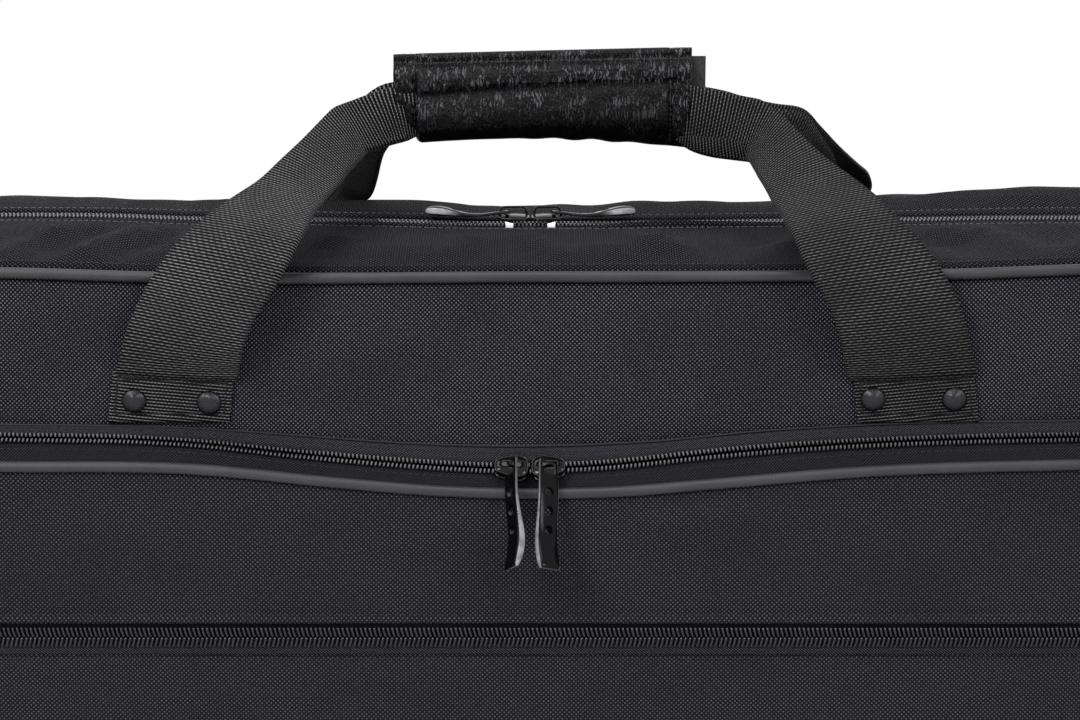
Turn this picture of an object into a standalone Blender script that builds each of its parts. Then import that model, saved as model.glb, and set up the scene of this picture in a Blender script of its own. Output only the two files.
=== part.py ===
"""Padded keyboard gig bag: a soft case that stands on its base and opens along a zip over its top and ends.

X runs along the bag, Y from front to back and Z up. The origin is the middle of the base, on the ground.
The tray is the rear half with the base. The cover is the front half with the pockets, and it folds down
about the piping along its lower front edge. The two carrying straps meet in a padded grip above the bag.
"""

import bmesh
import bpy
from math import acos, atan2, cos, hypot, pi, radians, sin, tan
from mathutils import Matrix, Vector

MM = 0.001

# Bag body
BAG_LENGTH = 1010 * MM
BAG_HEIGHT = 407 * MM
BAG_DEPTH = 160 * MM
CORNER_RADIUS = 45 * MM
CORNER_STEPS = 6
FIT_GAP = 0.3 * MM
CUT_OVERRUN = 5 * MM
GUSSET_CROWN = 7 * MM
CROWN_STEP_SHARES = (0.36, 0.53, 0.7, 0.85)
SMOOTH_ANGLE = 35
SHARPEST_MITRE = 30

# Layers of the padded walls
FABRIC = 1.5 * MM
FOAM = 8 * MM
LINING = 1 * MM
GUSSET_WALL = 6 * MM
PIPING_DIAMETER = 4.5 * MM
PIPING_STAND = 1 * MM

# Zip chain, used by all three zips
ZIP_SLOT = 1.8 * MM
COIL_WIDTH = 2.8 * MM
COIL_THICKNESS = 2.8 * MM
COIL_PROUD = 0.2 * MM
TAPE_THICKNESS = 0.8 * MM
ZIP_OPENING = 16 * MM
TAPE_UNDER_FOLD = 8 * MM
ZIP_MEETING_X = -5.5 * MM

# Zip sliders
SLIDER_LENGTH = 14 * MM
SLIDER_WIDTH = 10 * MM
SLIDER_PLATE = 1.6 * MM
SLIDER_POST = 1.2 * MM
SLIDER_POST_LENGTH = 9 * MM
SLIDER_SHARES = ((-0.5, 0.4), (0.1, 0.5), (0.38, 0.34), (0.5, 0.2))
BRIDGE_LENGTH = 11.4 * MM
BRIDGE_HEIGHT = 4.8 * MM
BRIDGE_THICKNESS = 1.1 * MM
BRIDGE_WIDTH = 1.6 * MM
BRIDGE_RADIUS = 2.2 * MM
BRIDGE_STEPS = 3

# Zip pulls
MAIN_PULL_LENGTH = 35 * MM
POCKET_PULL_LENGTH = 44 * MM
PULL_WIDTH = 9 * MM
PULL_THICKNESS = 4 * MM
PULL_RISE = 3.6 * MM
PULL_BAR = 1.3 * MM
PULL_LOOP_LENGTH = 5 * MM
PULL_LOOP_WIDTH = 5.8 * MM
PULL_HOLE = 4.2 * MM
PULL_HOLE_SIDES = 12
PULL_HOLE_SHARES = (0.3, 0.48, 0.66)
PULL_SHARES = (
    (0.3, 0.05, 1.0, 0.38),
    (0.45, 0.35, 1.0, 0.5),
    (0.6, 0.82, 1.0, 0.8),
    (0.72, 1.0, 1.0, 1.0),
    (0.85, 0.75, 1.0, 0.85),
    (0.95, 0.4, 0.95, 0.55),
    (1.0, 0.2, 0.85, 0.35),
)
MAIN_PULL_YAW = 10
POCKET_PULL_DROOP = 8
LEFT_PULL_TWIST = 40
RIGHT_PULL_TWIST = 34

# Front pocket
POCKET_HALF_LENGTH = 400 * MM
POCKET_BOTTOM = 45 * MM
POCKET_SEAM_BELOW_TOP = 73.4 * MM
POCKET_SAG = 15 * MM
POCKET_ZIP_SLOPE = 21.2 * MM
POCKET_ZIP_TILT = 42
POCKET_WALL = 2 * MM
POCKET_PANEL = 3 * MM
POCKET_RADIUS = 30 * MM
POCKET_TOP_RADIUS = 6 * MM
POCKET_PIPING_DROP = 1 * MM
POCKET_END_CLEARANCE = 12 * MM

# Flat pocket behind the zip in the pocket panel
FLAT_ZIP_BELOW_TOP = 149.7 * MM
FLAT_ZIP_END_MARGIN = 30 * MM
FLAT_ZIP_PROUD = 0.7 * MM
FLAT_POUCH_DEPTH = 6 * MM
FLAT_POUCH_WALL = 1.2 * MM
FLAT_POUCH_ABOVE_ZIP = 16 * MM
FLAT_POUCH_BOTTOM = 62 * MM

# Carrying straps and their sewn and riveted ends
STRAP_WIDTH = 50 * MM
STRAP_THICKNESS = 1.8 * MM
STRAP_X = 150 * MM
PATCH_TOP_BELOW = 41 * MM
PATCH_HEIGHT = 20 * MM
RIVET_BELOW_TOP = 51.7 * MM
RIVET_SPACING = 32 * MM
RIVET_DIAMETER = 9.3 * MM
RIVET_HEAD = 2.2 * MM
RIVET_SHANK = 3 * MM
RIVET_SIDES = 16
RIVET_HEAD_SHARES = ((1.0, 0.0), (1.0, 0.3), (0.86, 0.68), (0.55, 0.92), (0.2, 1.0))
STRAP_STEPS = 10
STRAP_LIFT = 43 * MM
STRAP_BOW = 32 * MM
STRAP_LEAN = 5 * MM
KNEE_X = 83 * MM
KNEE_Y = 11 * MM
KNEE_RISE = 46 * MM
KNEE_WIDTH = 32 * MM
KNEE_APPROACH = (29 * MM, 47 * MM, 13 * MM)
KNEE_WIDTH_SHARES = (0.45, 0.25, -0.85)
TWIST_POWER = 2.5

# Padded grip wrap
GRIP_CLEARANCE = 40 * MM
WRAP_LENGTH = 126 * MM
WRAP_DEPTH = 21 * MM
WRAP_ROLL_HEIGHT = 31 * MM
WRAP_FLANGE_HEIGHT = 8 * MM
WRAP_FLANGE_THICKNESS = 3.4 * MM
WRAP_ROUNDNESS = 2.6
WRAP_STEPS = 9
BAND_HEIGHT = 22 * MM
BAND_LEAD = 8 * MM
CLOSURE_TAPE = 1.15 * MM
CLOSURE_TAPE_BELOW = 4 * MM
CLOSURE_END = 2 * MM
HOOK_OVERHANG = 5 * MM

# Derived sizes of the body
HALF_LENGTH = BAG_LENGTH / 2
HALF_DEPTH = BAG_DEPTH / 2
PIPING_RADIUS = PIPING_DIAMETER / 2
PIPING_LINE_Y = HALF_DEPTH - PIPING_RADIUS
GUSSET_EDGE_Y = HALF_DEPTH - PIPING_DIAMETER - FIT_GAP
PANEL_FACE_Y = HALF_DEPTH - PIPING_STAND
PANEL_INSET = PIPING_DIAMETER + FIT_GAP
PADDING_INSET = GUSSET_WALL + FIT_GAP
FOAM_FACE_Y = PANEL_FACE_Y - FABRIC - FIT_GAP
LINING_FACE_Y = FOAM_FACE_Y - FOAM - FIT_GAP

# Derived sizes of the zips
COIL_NEAR = ZIP_SLOT / 2
COIL_FAR = COIL_NEAR + COIL_WIDTH
TAPE_NEAR = COIL_FAR + FIT_GAP
HALF_OPENING = ZIP_OPENING / 2
TAPE_TOP_INSET = FABRIC + FIT_GAP
CHAIN_INSET = COIL_THICKNESS / 2 - COIL_PROUD
PLATE_NEAR = COIL_THICKNESS / 2 + FIT_GAP
PLATE_FAR = PLATE_NEAR + SLIDER_PLATE
BRIDGE_LINE = PLATE_FAR + BRIDGE_HEIGHT - BRIDGE_THICKNESS / 2
BAR_LINE = PLATE_FAR + PULL_BAR
SLIDER_HALF_PITCH = SLIDER_LENGTH / 2 + FIT_GAP
MAIN_ZIP_Z = BAG_HEIGHT + GUSSET_CROWN - CHAIN_INSET

# Derived sizes of the pocket
TILT = radians(POCKET_ZIP_TILT)
POCKET_SEAM_Y = -PANEL_FACE_Y - FIT_GAP
POCKET_SEAM_Z = BAG_HEIGHT - POCKET_SEAM_BELOW_TOP
DOWN_SLOPE = Vector((0, -cos(TILT), -sin(TILT)))
OFF_SLOPE = Vector((0, -sin(TILT), cos(TILT)))
POCKET_PIPING_Y = POCKET_SEAM_Y - POCKET_ZIP_SLOPE * cos(TILT) + POCKET_PIPING_DROP * sin(TILT)
POCKET_PIPING_Z = POCKET_SEAM_Z - POCKET_ZIP_SLOPE * sin(TILT) - POCKET_PIPING_DROP * cos(TILT)
POCKET_FACE_Y = POCKET_PIPING_Y - PIPING_RADIUS + PIPING_STAND
POCKET_WALL_EDGE_Y = POCKET_PIPING_Y + PIPING_RADIUS + FIT_GAP
POCKET_RISE = POCKET_SAG / POCKET_HALF_LENGTH
FLAT_ZIP_HALF_LENGTH = POCKET_HALF_LENGTH - FLAT_ZIP_END_MARGIN
FLAT_ZIP_Z = BAG_HEIGHT - FLAT_ZIP_BELOW_TOP
FLAT_CHAIN_Y = POCKET_FACE_Y - FLAT_ZIP_PROUD + COIL_THICKNESS / 2
POCKET_BACK_Y = POCKET_FACE_Y + POCKET_PANEL

# Derived sizes of the straps and the grip
PATCH_FACE_Y = PANEL_FACE_Y + FIT_GAP + STRAP_THICKNESS
STRAP_PIVOT_Z = BAG_HEIGHT - PATCH_TOP_BELOW
WRAP_BOTTOM = BAG_HEIGHT + GRIP_CLEARANCE
WRAP_TOP = WRAP_BOTTOM + WRAP_ROLL_HEIGHT + WRAP_FLANGE_HEIGHT
GRIP_Z = WRAP_BOTTOM + WRAP_ROLL_HEIGHT / 2
SEAM_HALF_GAP = FIT_GAP / 2
BAND_THICKNESS = 2 * STRAP_THICKNESS
BAND_Y = SEAM_HALF_GAP + CLOSURE_TAPE + BAND_THICKNESS / 2
BAND_POCKET_Y = BAND_Y + BAND_THICKNESS / 2 + FIT_GAP
TAPE_SEAT_Y = SEAM_HALF_GAP + CLOSURE_TAPE + FIT_GAP

# Finishes: colour, roughness and metallic value
OUTER_FABRIC = ((0.036, 0.035, 0.044), 0.85, 0.0)
GUSSET_FABRIC = ((0.028, 0.027, 0.034), 0.85, 0.0)
INNER_FOAM = ((0.09, 0.09, 0.1), 0.95, 0.0)
INNER_LINING = ((0.05, 0.05, 0.055), 0.9, 0.0)
PIPING_VINYL = ((0.05, 0.05, 0.053), 0.45, 0.0)
ZIP_TAPE = ((0.025, 0.025, 0.03), 0.8, 0.0)
ZIP_COIL = ((0.03, 0.03, 0.034), 0.4, 0.0)
BLACK_METAL = ((0.02, 0.02, 0.022), 0.25, 1.0)
GUNMETAL = ((0.035, 0.035, 0.042), 0.4, 1.0)
WEBBING = ((0.04, 0.04, 0.043), 0.75, 0.0)
GRIP_LEATHER = ((0.02, 0.02, 0.023), 0.38, 0.0)
CLOSURE_FABRIC = ((0.012, 0.012, 0.013), 0.95, 0.0)


def clear_scene():
    """Remove what the file opens with."""
    for item in list(bpy.data.objects):
        bpy.data.objects.remove(item)


def empty_at(name, place, parent=None):
    """An empty that marks a joint's axis and carries the pieces that turn or slide on it."""
    empty = bpy.data.objects.new(name, None)
    bpy.context.collection.objects.link(empty)
    empty.location = place
    if parent:
        empty.parent = parent
        empty.location = place - carried_place(parent)
    return empty


def carried_place(empty):
    """World place of an empty that is only moved, not turned."""
    place = empty.location.copy()
    if empty.parent:
        place += carried_place(empty.parent)
    return place


def add_piece(name, mesh, finish, carrier=None, matrix=None):
    """A named piece with its own material, carried by a joint's empty if it moves."""
    piece = bpy.data.objects.new(name, mesh)
    bpy.context.collection.objects.link(piece)
    if matrix:
        piece.matrix_world = matrix
    if carrier:
        piece.parent = carrier
        piece.matrix_parent_inverse = Matrix.Translation(-carried_place(carrier))
    colour, roughness, metallic = finish
    material = bpy.data.materials.new(name + "_finish")
    material.use_nodes = True
    shader = material.node_tree.nodes["Principled BSDF"]
    shader.inputs["Base Color"].default_value = (*colour, 1)
    shader.inputs["Roughness"].default_value = roughness
    shader.inputs["Metallic"].default_value = metallic
    piece.material_slots[0].link = "OBJECT"
    piece.material_slots[0].material = material
    return piece


def smooth_but_edges(mesh):
    """Shade a mesh smooth, but keep its sharp edges."""
    mesh.shade_smooth()
    mesh.set_sharp_from_angle(angle=radians(SMOOTH_ANGLE))


def mesh_from(bm, name):
    """Turn a bmesh into a mesh with its faces pointing out and one material slot."""
    bmesh.ops.recalc_face_normals(bm, faces=bm.faces)
    mesh = bpy.data.meshes.new(name)
    bm.to_mesh(mesh)
    bm.free()
    mesh.materials.append(None)
    smooth_but_edges(mesh)
    return mesh


def skin(rings):
    """A closed surface through rings of points, with a flat end at each side."""
    bm = bmesh.new()
    loops = [[bm.verts.new(point) for point in ring] for ring in rings]
    for near, far in zip(loops, loops[1:]):
        for k in range(len(near)):
            nxt = (k + 1) % len(near)
            bm.faces.new((near[k], near[nxt], far[nxt], far[k]))
    bm.faces.new(loops[0])
    bm.faces.new(loops[-1])
    return bm


def prism(outline, axis, low, high):
    """Extrude a flat outline of 2D points along X or Y from low to high."""
    bm = bmesh.new()
    if axis == "Y":
        points = [(a, low, b) for a, b in outline]
        step = (0, high - low, 0)
    else:
        points = [(low, a, b) for a, b in outline]
        step = (high - low, 0, 0)
    face = bm.faces.new([bm.verts.new(p) for p in points])
    grown = bmesh.ops.extrude_face_region(bm, geom=[face])
    moved = [item for item in grown["geom"] if isinstance(item, bmesh.types.BMVert)]
    bmesh.ops.translate(bm, verts=moved, vec=step)
    bmesh.ops.recalc_face_normals(bm, faces=bm.faces)
    return bm


def block(low, high):
    """A box between two corners."""
    low, high = Vector(low), Vector(high)
    bm = bmesh.new()
    bmesh.ops.create_cube(bm, size=1)
    bmesh.ops.scale(bm, verts=bm.verts, vec=high - low)
    bmesh.ops.translate(bm, verts=bm.verts, vec=(low + high) / 2)
    return bm


def rod(centre, radius, low, high, sides, axis):
    """A many-sided rod through a centre, along an axis, from low to high on it."""
    bm = bmesh.new()
    bmesh.ops.create_cone(
        bm, cap_ends=True, segments=sides, radius1=radius, radius2=radius, depth=high - low
    )
    turn = Vector((0, 0, 1)).rotation_difference(axis).to_matrix()
    bmesh.ops.rotate(bm, verts=bm.verts, matrix=turn)
    bmesh.ops.translate(bm, verts=bm.verts, vec=Vector(centre) + axis * (low + high) / 2)
    return bm


def combine(piece, tool_bm, operation):
    """Cut a hidden tool out of a piece, or join it on."""
    name = piece.name + "_" + operation.lower()
    tool = bpy.data.objects.new(name, mesh_from(tool_bm, name))
    bpy.context.collection.objects.link(tool)
    tool.hide_render = True
    tool.display_type = "WIRE"
    change = piece.modifiers.new(operation.title(), "BOOLEAN")
    change.operation = operation
    change.object = tool
    change.solver = "EXACT"
    return tool


def built_mesh(name, base_bm, joined=(), cut=()):
    """The mesh left when shapes are joined to a base and holes are cut from it."""
    piece = bpy.data.objects.new(name, mesh_from(base_bm, name))
    bpy.context.collection.objects.link(piece)
    tools = [combine(piece, bm, "UNION") for bm in joined]
    tools += [combine(piece, bm, "DIFFERENCE") for bm in cut]
    graph = bpy.context.evaluated_depsgraph_get()
    mesh = bpy.data.meshes.new_from_object(piece.evaluated_get(graph))
    for item in [piece, *tools]:
        bpy.data.objects.remove(item)
    mesh.name = name
    smooth_but_edges(mesh)
    return mesh


def rounded_corners(corners, radii, steps, closed=True):
    """Replace each corner of a clockwise outline with an arc. Gives one list of points per corner."""
    arcs = []
    count = len(corners)
    for i, (corner, radius) in enumerate(zip(corners, radii)):
        at = Vector(corner)
        if not radius or (not closed and i in (0, count - 1)):
            arcs.append([tuple(at)])
            continue
        back = (Vector(corners[i - 1]) - at).normalized()
        ahead = (Vector(corners[(i + 1) % count]) - at).normalized()
        half_angle = acos(max(-1, min(1, back.dot(ahead)))) / 2
        centre = at + (back + ahead).normalized() * radius / sin(half_angle)
        start = at + back * radius / tan(half_angle) - centre
        end = at + ahead * radius / tan(half_angle) - centre
        first = atan2(start.y, start.x)
        sweep = atan2(end.y, end.x) - first
        sweep = (sweep + pi) % (2 * pi) - pi
        angles = [first + sweep * k / steps for k in range(steps + 1)]
        arcs.append([(centre.x + radius * cos(a), centre.y + radius * sin(a)) for a in angles])
    return arcs


def flattened(arcs):
    """All the points of an outline's arcs in one list."""
    return [point for arc in arcs for point in arc]


def inward_frames(points, closed=True):
    """For each point of a clockwise outline, the step that moves it inward by one unit, mitred."""
    frames = []
    count = len(points)
    for i, point in enumerate(points):
        at = Vector(point)
        before = (at - Vector(points[i - 1])).normalized()
        after = (Vector(points[(i + 1) % count]) - at).normalized()
        if not closed and i == 0:
            before = after
        if not closed and i == count - 1:
            after = before
        along = (before + after).normalized()
        inward = Vector((along.y, -along.x)) / max(along.dot(before), sin(radians(SHARPEST_MITRE)))
        frames.append((at, inward))
    return frames


def swept(frames, section, crown=0):
    """Carry a section of (y, inset) points along an outline's frames.

    A crown lifts the section's middle, at Y = 0, outward over its edges, by its full height at the bag's top
    and by nothing at the base.
    """
    rings = []
    for at, inward in frames:
        ring = []
        for y, inset in section:
            lift = crown * at.y / BAG_HEIGHT * (1 - (y / GUSSET_EDGE_Y) ** 2)
            place = at + inward * (inset - lift)
            ring.append((place.x, y, place.y))
        rings.append(ring)
    return skin(rings)


def rectangle(y_low, y_high, inset_low, inset_high):
    """A four-cornered section."""
    return [(y_low, inset_low), (y_high, inset_low), (y_high, inset_high), (y_low, inset_high)]


def body_corners(inset):
    """The four corners of the bag's outline seen from the front, clockwise from the lower left."""
    side = HALF_LENGTH - inset
    return [(-side, inset), (-side, BAG_HEIGHT - inset), (side, BAG_HEIGHT - inset), (side, inset)]


def body_outline(inset):
    """The bag's rounded outline, moved inward by the inset."""
    return flattened(rounded_corners(body_corners(inset), [CORNER_RADIUS - inset] * 4, CORNER_STEPS))


def panel_slab(name, side, outer_y, thickness, inset, finish, carrier):
    """One flat layer of the front or back wall. Side is -1 for the front and 1 for the back."""
    bm = prism(body_outline(inset), "Y", side * outer_y, side * (outer_y - thickness))
    return add_piece(name, mesh_from(bm, name), finish, carrier)


def padded_wall(label, side, carrier):
    """Outer fabric, foam and lining of the front or back wall."""
    panel_slab(label + "_panel_fabric", side, PANEL_FACE_Y, FABRIC, PANEL_INSET, OUTER_FABRIC, carrier)
    panel_slab(label + "_panel_foam", side, FOAM_FACE_Y, FOAM, PADDING_INSET, INNER_FOAM, carrier)
    panel_slab(label + "_panel_lining", side, LINING_FACE_Y, LINING, PADDING_INSET, INNER_LINING, carrier)


def piping_ring(name, points, y, carrier):
    """A closed cord of piping through points in the XZ plane."""
    curve = bpy.data.curves.new(name, "CURVE")
    curve.dimensions = "3D"
    curve.bevel_depth = PIPING_RADIUS
    curve.bevel_resolution = 2
    curve.resolution_u = 1
    curve.render_resolution_u = 1
    spline = curve.splines.new("POLY")
    spline.points.add(len(points) - 1)
    for target, (x, z) in zip(spline.points, points):
        target.co = (x, y, z, 1)
    spline.use_cyclic_u = True
    curve.materials.append(None)
    return add_piece(name, curve, PIPING_VINYL, carrier)


def gusset_section(side):
    """Padded strip between piping and zip, with a thin folded edge over the zip tape."""
    fold_end = HALF_OPENING + TAPE_UNDER_FOLD + FIT_GAP
    steps = [share * GUSSET_EDGE_Y for share in CROWN_STEP_SHARES]
    outer = [(y, 0) for y in (HALF_OPENING, fold_end, *steps, GUSSET_EDGE_Y)]
    inner = [(y, GUSSET_WALL) for y in (GUSSET_EDGE_Y, *reversed(steps), fold_end)]
    half = [*outer, *inner, (fold_end, FABRIC), (HALF_OPENING, FABRIC)]
    return [(side * y, inset) for y, inset in half]


def body_frames():
    """Frames along the bag's outline, with both ends square to the base."""
    frames = inward_frames(body_outline(0))
    upward = Vector((0, 1))
    return [(frames[0][0], upward), *frames[1:-1], (frames[-1][0], upward)]


def gusset_and_zip(label, side, carrier):
    """The strip round the top and ends of one half of the bag, with its half of the main zip."""
    frames = body_frames()
    gusset = swept(frames, gusset_section(side), GUSSET_CROWN)
    add_piece(label + "_gusset", mesh_from(gusset, label + "_gusset"), GUSSET_FABRIC, carrier)
    zip_frames = frames[1:-1]
    tape_end = HALF_OPENING + TAPE_UNDER_FOLD
    tape_low = TAPE_TOP_INSET + TAPE_THICKNESS
    section = rectangle(side * TAPE_NEAR, side * tape_end, TAPE_TOP_INSET, tape_low)
    tape = swept(zip_frames, section, GUSSET_CROWN)
    add_piece(label + "_zip_tape", mesh_from(tape, label + "_zip_tape"), ZIP_TAPE, carrier)
    coil_low = COIL_THICKNESS - COIL_PROUD
    section = rectangle(side * COIL_NEAR, side * COIL_FAR, -COIL_PROUD, coil_low)
    coil = swept(zip_frames, section, GUSSET_CROWN)
    add_piece(label + "_zip_coil", mesh_from(coil, label + "_zip_coil"), ZIP_COIL, carrier)


def base_gusset():
    """The full-depth base strip that the bag stands on."""
    reach = HALF_LENGTH - CORNER_RADIUS - FIT_GAP
    base = block((-reach, -GUSSET_EDGE_Y, 0), (reach, GUSSET_EDGE_Y, GUSSET_WALL))
    add_piece("base_gusset", mesh_from(base, "base_gusset"), GUSSET_FABRIC)


def zip_end_stops():
    """The stop across both halves of the coil at each lower end of the main zip."""
    frames = body_frames()
    ends = (("left_zip_stop", frames[0], frames[1]), ("right_zip_stop", frames[-1], frames[-2]))
    for name, first, second in ends:
        length = (second[0] - first[0]).length
        share = 1 - FIT_GAP / length
        far = (first[0].lerp(second[0], share), first[1].lerp(second[1], share))
        section = rectangle(-COIL_FAR, COIL_FAR, 0, COIL_THICKNESS - COIL_PROUD)
        add_piece(name, mesh_from(swept([first, far], section), name), BLACK_METAL)


def slider_mesh():
    """A two-plate slider: plates above and below the coil, a post in the slot, and the bridge on top."""
    outline = [(a * SLIDER_LENGTH, b * SLIDER_WIDTH) for a, b in SLIDER_SHARES]
    outline += [(a, -b) for a, b in reversed(outline)]
    upper = skin([[(x, y, PLATE_NEAR) for x, y in outline], [(x, y, PLATE_FAR) for x, y in outline]])
    lower = skin([[(x, y, -PLATE_NEAR) for x, y in outline], [(x, y, -PLATE_FAR) for x, y in outline]])
    half_post = SLIDER_POST / 2
    post_end = SLIDER_POST_LENGTH / 2
    post_top = PLATE_NEAR + SLIDER_PLATE / 2
    post = block((-post_end, -half_post, -post_top), (post_end, half_post, post_top))
    foot = PLATE_FAR - SLIDER_PLATE / 2
    leg = (BRIDGE_LENGTH - BRIDGE_THICKNESS) / 2
    corners = [(-leg, foot), (-leg, BRIDGE_LINE), (leg, BRIDGE_LINE), (leg, foot)]
    radii = [0, BRIDGE_RADIUS, BRIDGE_RADIUS, 0]
    line = flattened(rounded_corners(corners, radii, BRIDGE_STEPS, closed=False))
    half_wide, half_thick = BRIDGE_WIDTH / 2, BRIDGE_THICKNESS / 2
    section = rectangle(-half_wide, half_wide, -half_thick, half_thick)
    bridge = swept(inward_frames(line, closed=False), section)
    for shape in (upper, lower, post, bridge):
        bmesh.ops.recalc_face_normals(shape, faces=shape.faces)
    return built_mesh("slider", upper, joined=(post, lower, bridge))


def pull_mesh(name, length, pivot, bend):
    """A flat pull along +X with a loop for the bridge, three holes and a thick bent end.

    Its bar lies across the origin when pivot is zero, and otherwise that far behind it.
    """
    half_bar = PULL_BAR / 2
    loop_end = PULL_BAR / 2 + PULL_LOOP_LENGTH
    stations = [(-half_bar, 0, PULL_WIDTH, PULL_BAR), (loop_end, 0, PULL_WIDTH, PULL_BAR)]
    for along, rise, wide, thick in PULL_SHARES:
        stations.append((along * length, bend * rise * PULL_RISE, wide * PULL_WIDTH, thick * PULL_THICKNESS))
    rings = []
    for x, z, wide, thick in stations:
        half_wide, half_thick = wide / 2, thick / 2
        rings.append([
            (x - pivot, -half_wide, z - half_thick),
            (x - pivot, half_wide, z - half_thick),
            (x - pivot, half_wide, z + half_thick),
            (x - pivot, -half_wide, z + half_thick),
        ])
    deep = PULL_THICKNESS + PULL_RISE
    half_loop = PULL_LOOP_WIDTH / 2
    cuts = [block((half_bar - pivot, -half_loop, -deep), (loop_end - pivot, half_loop, deep))]
    for share in PULL_HOLE_SHARES:
        centre = (share * length - pivot, 0, 0)
        cuts.append(rod(centre, PULL_HOLE / 2, -deep, deep, PULL_HOLE_SIDES, Vector((0, 0, 1))))
    return built_mesh(name, skin(rings), cut=cuts)


def frame_matrix(place, along, outward):
    """A matrix whose X axis is along and whose Z axis is outward, at a place."""
    along = along.normalized()
    across = outward.cross(along).normalized()
    outward = along.cross(across)
    turn = Matrix((along, across, outward)).transposed()
    return Matrix.Translation(place) @ turn.to_4x4()


def main_sliders(slider, tray_mark):
    """Two sliders that meet near the middle of the top, with pulls lying flat and pointing outward."""
    bar_x = (BRIDGE_LENGTH - BRIDGE_THICKNESS) / 2 - BRIDGE_THICKNESS - PULL_BAR
    pull = pull_mesh("main_pull", MAIN_PULL_LENGTH, 0, 1)
    for label, side in (("left", -1), ("right", 1)):
        place = Vector((ZIP_MEETING_X + side * SLIDER_HALF_PITCH, 0, MAIN_ZIP_Z))
        slide = empty_at(label + "_main_slide", place, tray_mark)
        up = Vector((0, 0, 1))
        matrix = frame_matrix(place, Vector((-side, 0, 0)), up)
        add_piece(label + "_main_slider", slider, BLACK_METAL, slide, matrix)
        bar = place + Vector((side * bar_x, 0, BAR_LINE))
        swing = empty_at(label + "_main_pull_swing", bar, slide)
        yaw = radians(MAIN_PULL_YAW)
        outward = Vector((side * cos(yaw), sin(yaw), 0))
        add_piece(label + "_main_pull", pull, BLACK_METAL, swing, frame_matrix(bar, outward, up))


def pocket_line(x):
    """How far the pocket's zip and top edge rise above their lowest point at x."""
    return POCKET_RISE * abs(x - ZIP_MEETING_X)


def slope_strip(name, near, far, thickness, finish, carrier):
    """A strip of the pocket's sloping zip, between two distances down the slope."""
    reach = POCKET_HALF_LENGTH - POCKET_WALL - FIT_GAP
    off = OFF_SLOPE * thickness / 2
    rings = []
    for x in (-reach, ZIP_MEETING_X, reach):
        seam = Vector((x, POCKET_SEAM_Y, POCKET_SEAM_Z + pocket_line(x)))
        rings.append([
            seam + DOWN_SLOPE * near - off,
            seam + DOWN_SLOPE * far - off,
            seam + DOWN_SLOPE * far + off,
            seam + DOWN_SLOPE * near + off,
        ])
    return add_piece(name, mesh_from(skin(rings), name), finish, carrier)


def pocket_zip(carrier):
    """Both tapes and both halves of the coil of the pocket's main zip."""
    middle = POCKET_ZIP_SLOPE / 2
    lower_end = POCKET_ZIP_SLOPE - PIPING_RADIUS - FIT_GAP
    for name, near, far in (
        ("pocket_zip_upper_tape", FIT_GAP, middle - TAPE_NEAR),
        ("pocket_zip_lower_tape", middle + TAPE_NEAR, lower_end),
    ):
        slope_strip(name, near, far, TAPE_THICKNESS, ZIP_TAPE, carrier)
    for name, near, far in (
        ("pocket_zip_upper_coil", middle - COIL_FAR, middle - COIL_NEAR),
        ("pocket_zip_lower_coil", middle + COIL_NEAR, middle + COIL_FAR),
    ):
        slope_strip(name, near, far, COIL_THICKNESS, ZIP_COIL, carrier)


def pocket_corners(inset):
    """Corners of the pocket seen from the front, with its sagging top edge, clockwise from the lower left."""
    top = POCKET_PIPING_Z + PIPING_RADIUS - inset
    side = POCKET_HALF_LENGTH - inset
    bottom = POCKET_BOTTOM + inset
    return [
        (-side, bottom),
        (-side, top + pocket_line(-side)),
        (ZIP_MEETING_X, top),
        (side, top + pocket_line(side)),
        (side, bottom),
    ]


def pocket_arcs(inset):
    """The pocket's outline with rounded corners, one list of points per corner."""
    top_radius = max(POCKET_TOP_RADIUS - inset, 0)
    radii = [POCKET_RADIUS - inset, top_radius, 0, top_radius, POCKET_RADIUS - inset]
    return rounded_corners(pocket_corners(inset), radii, CORNER_STEPS)


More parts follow.
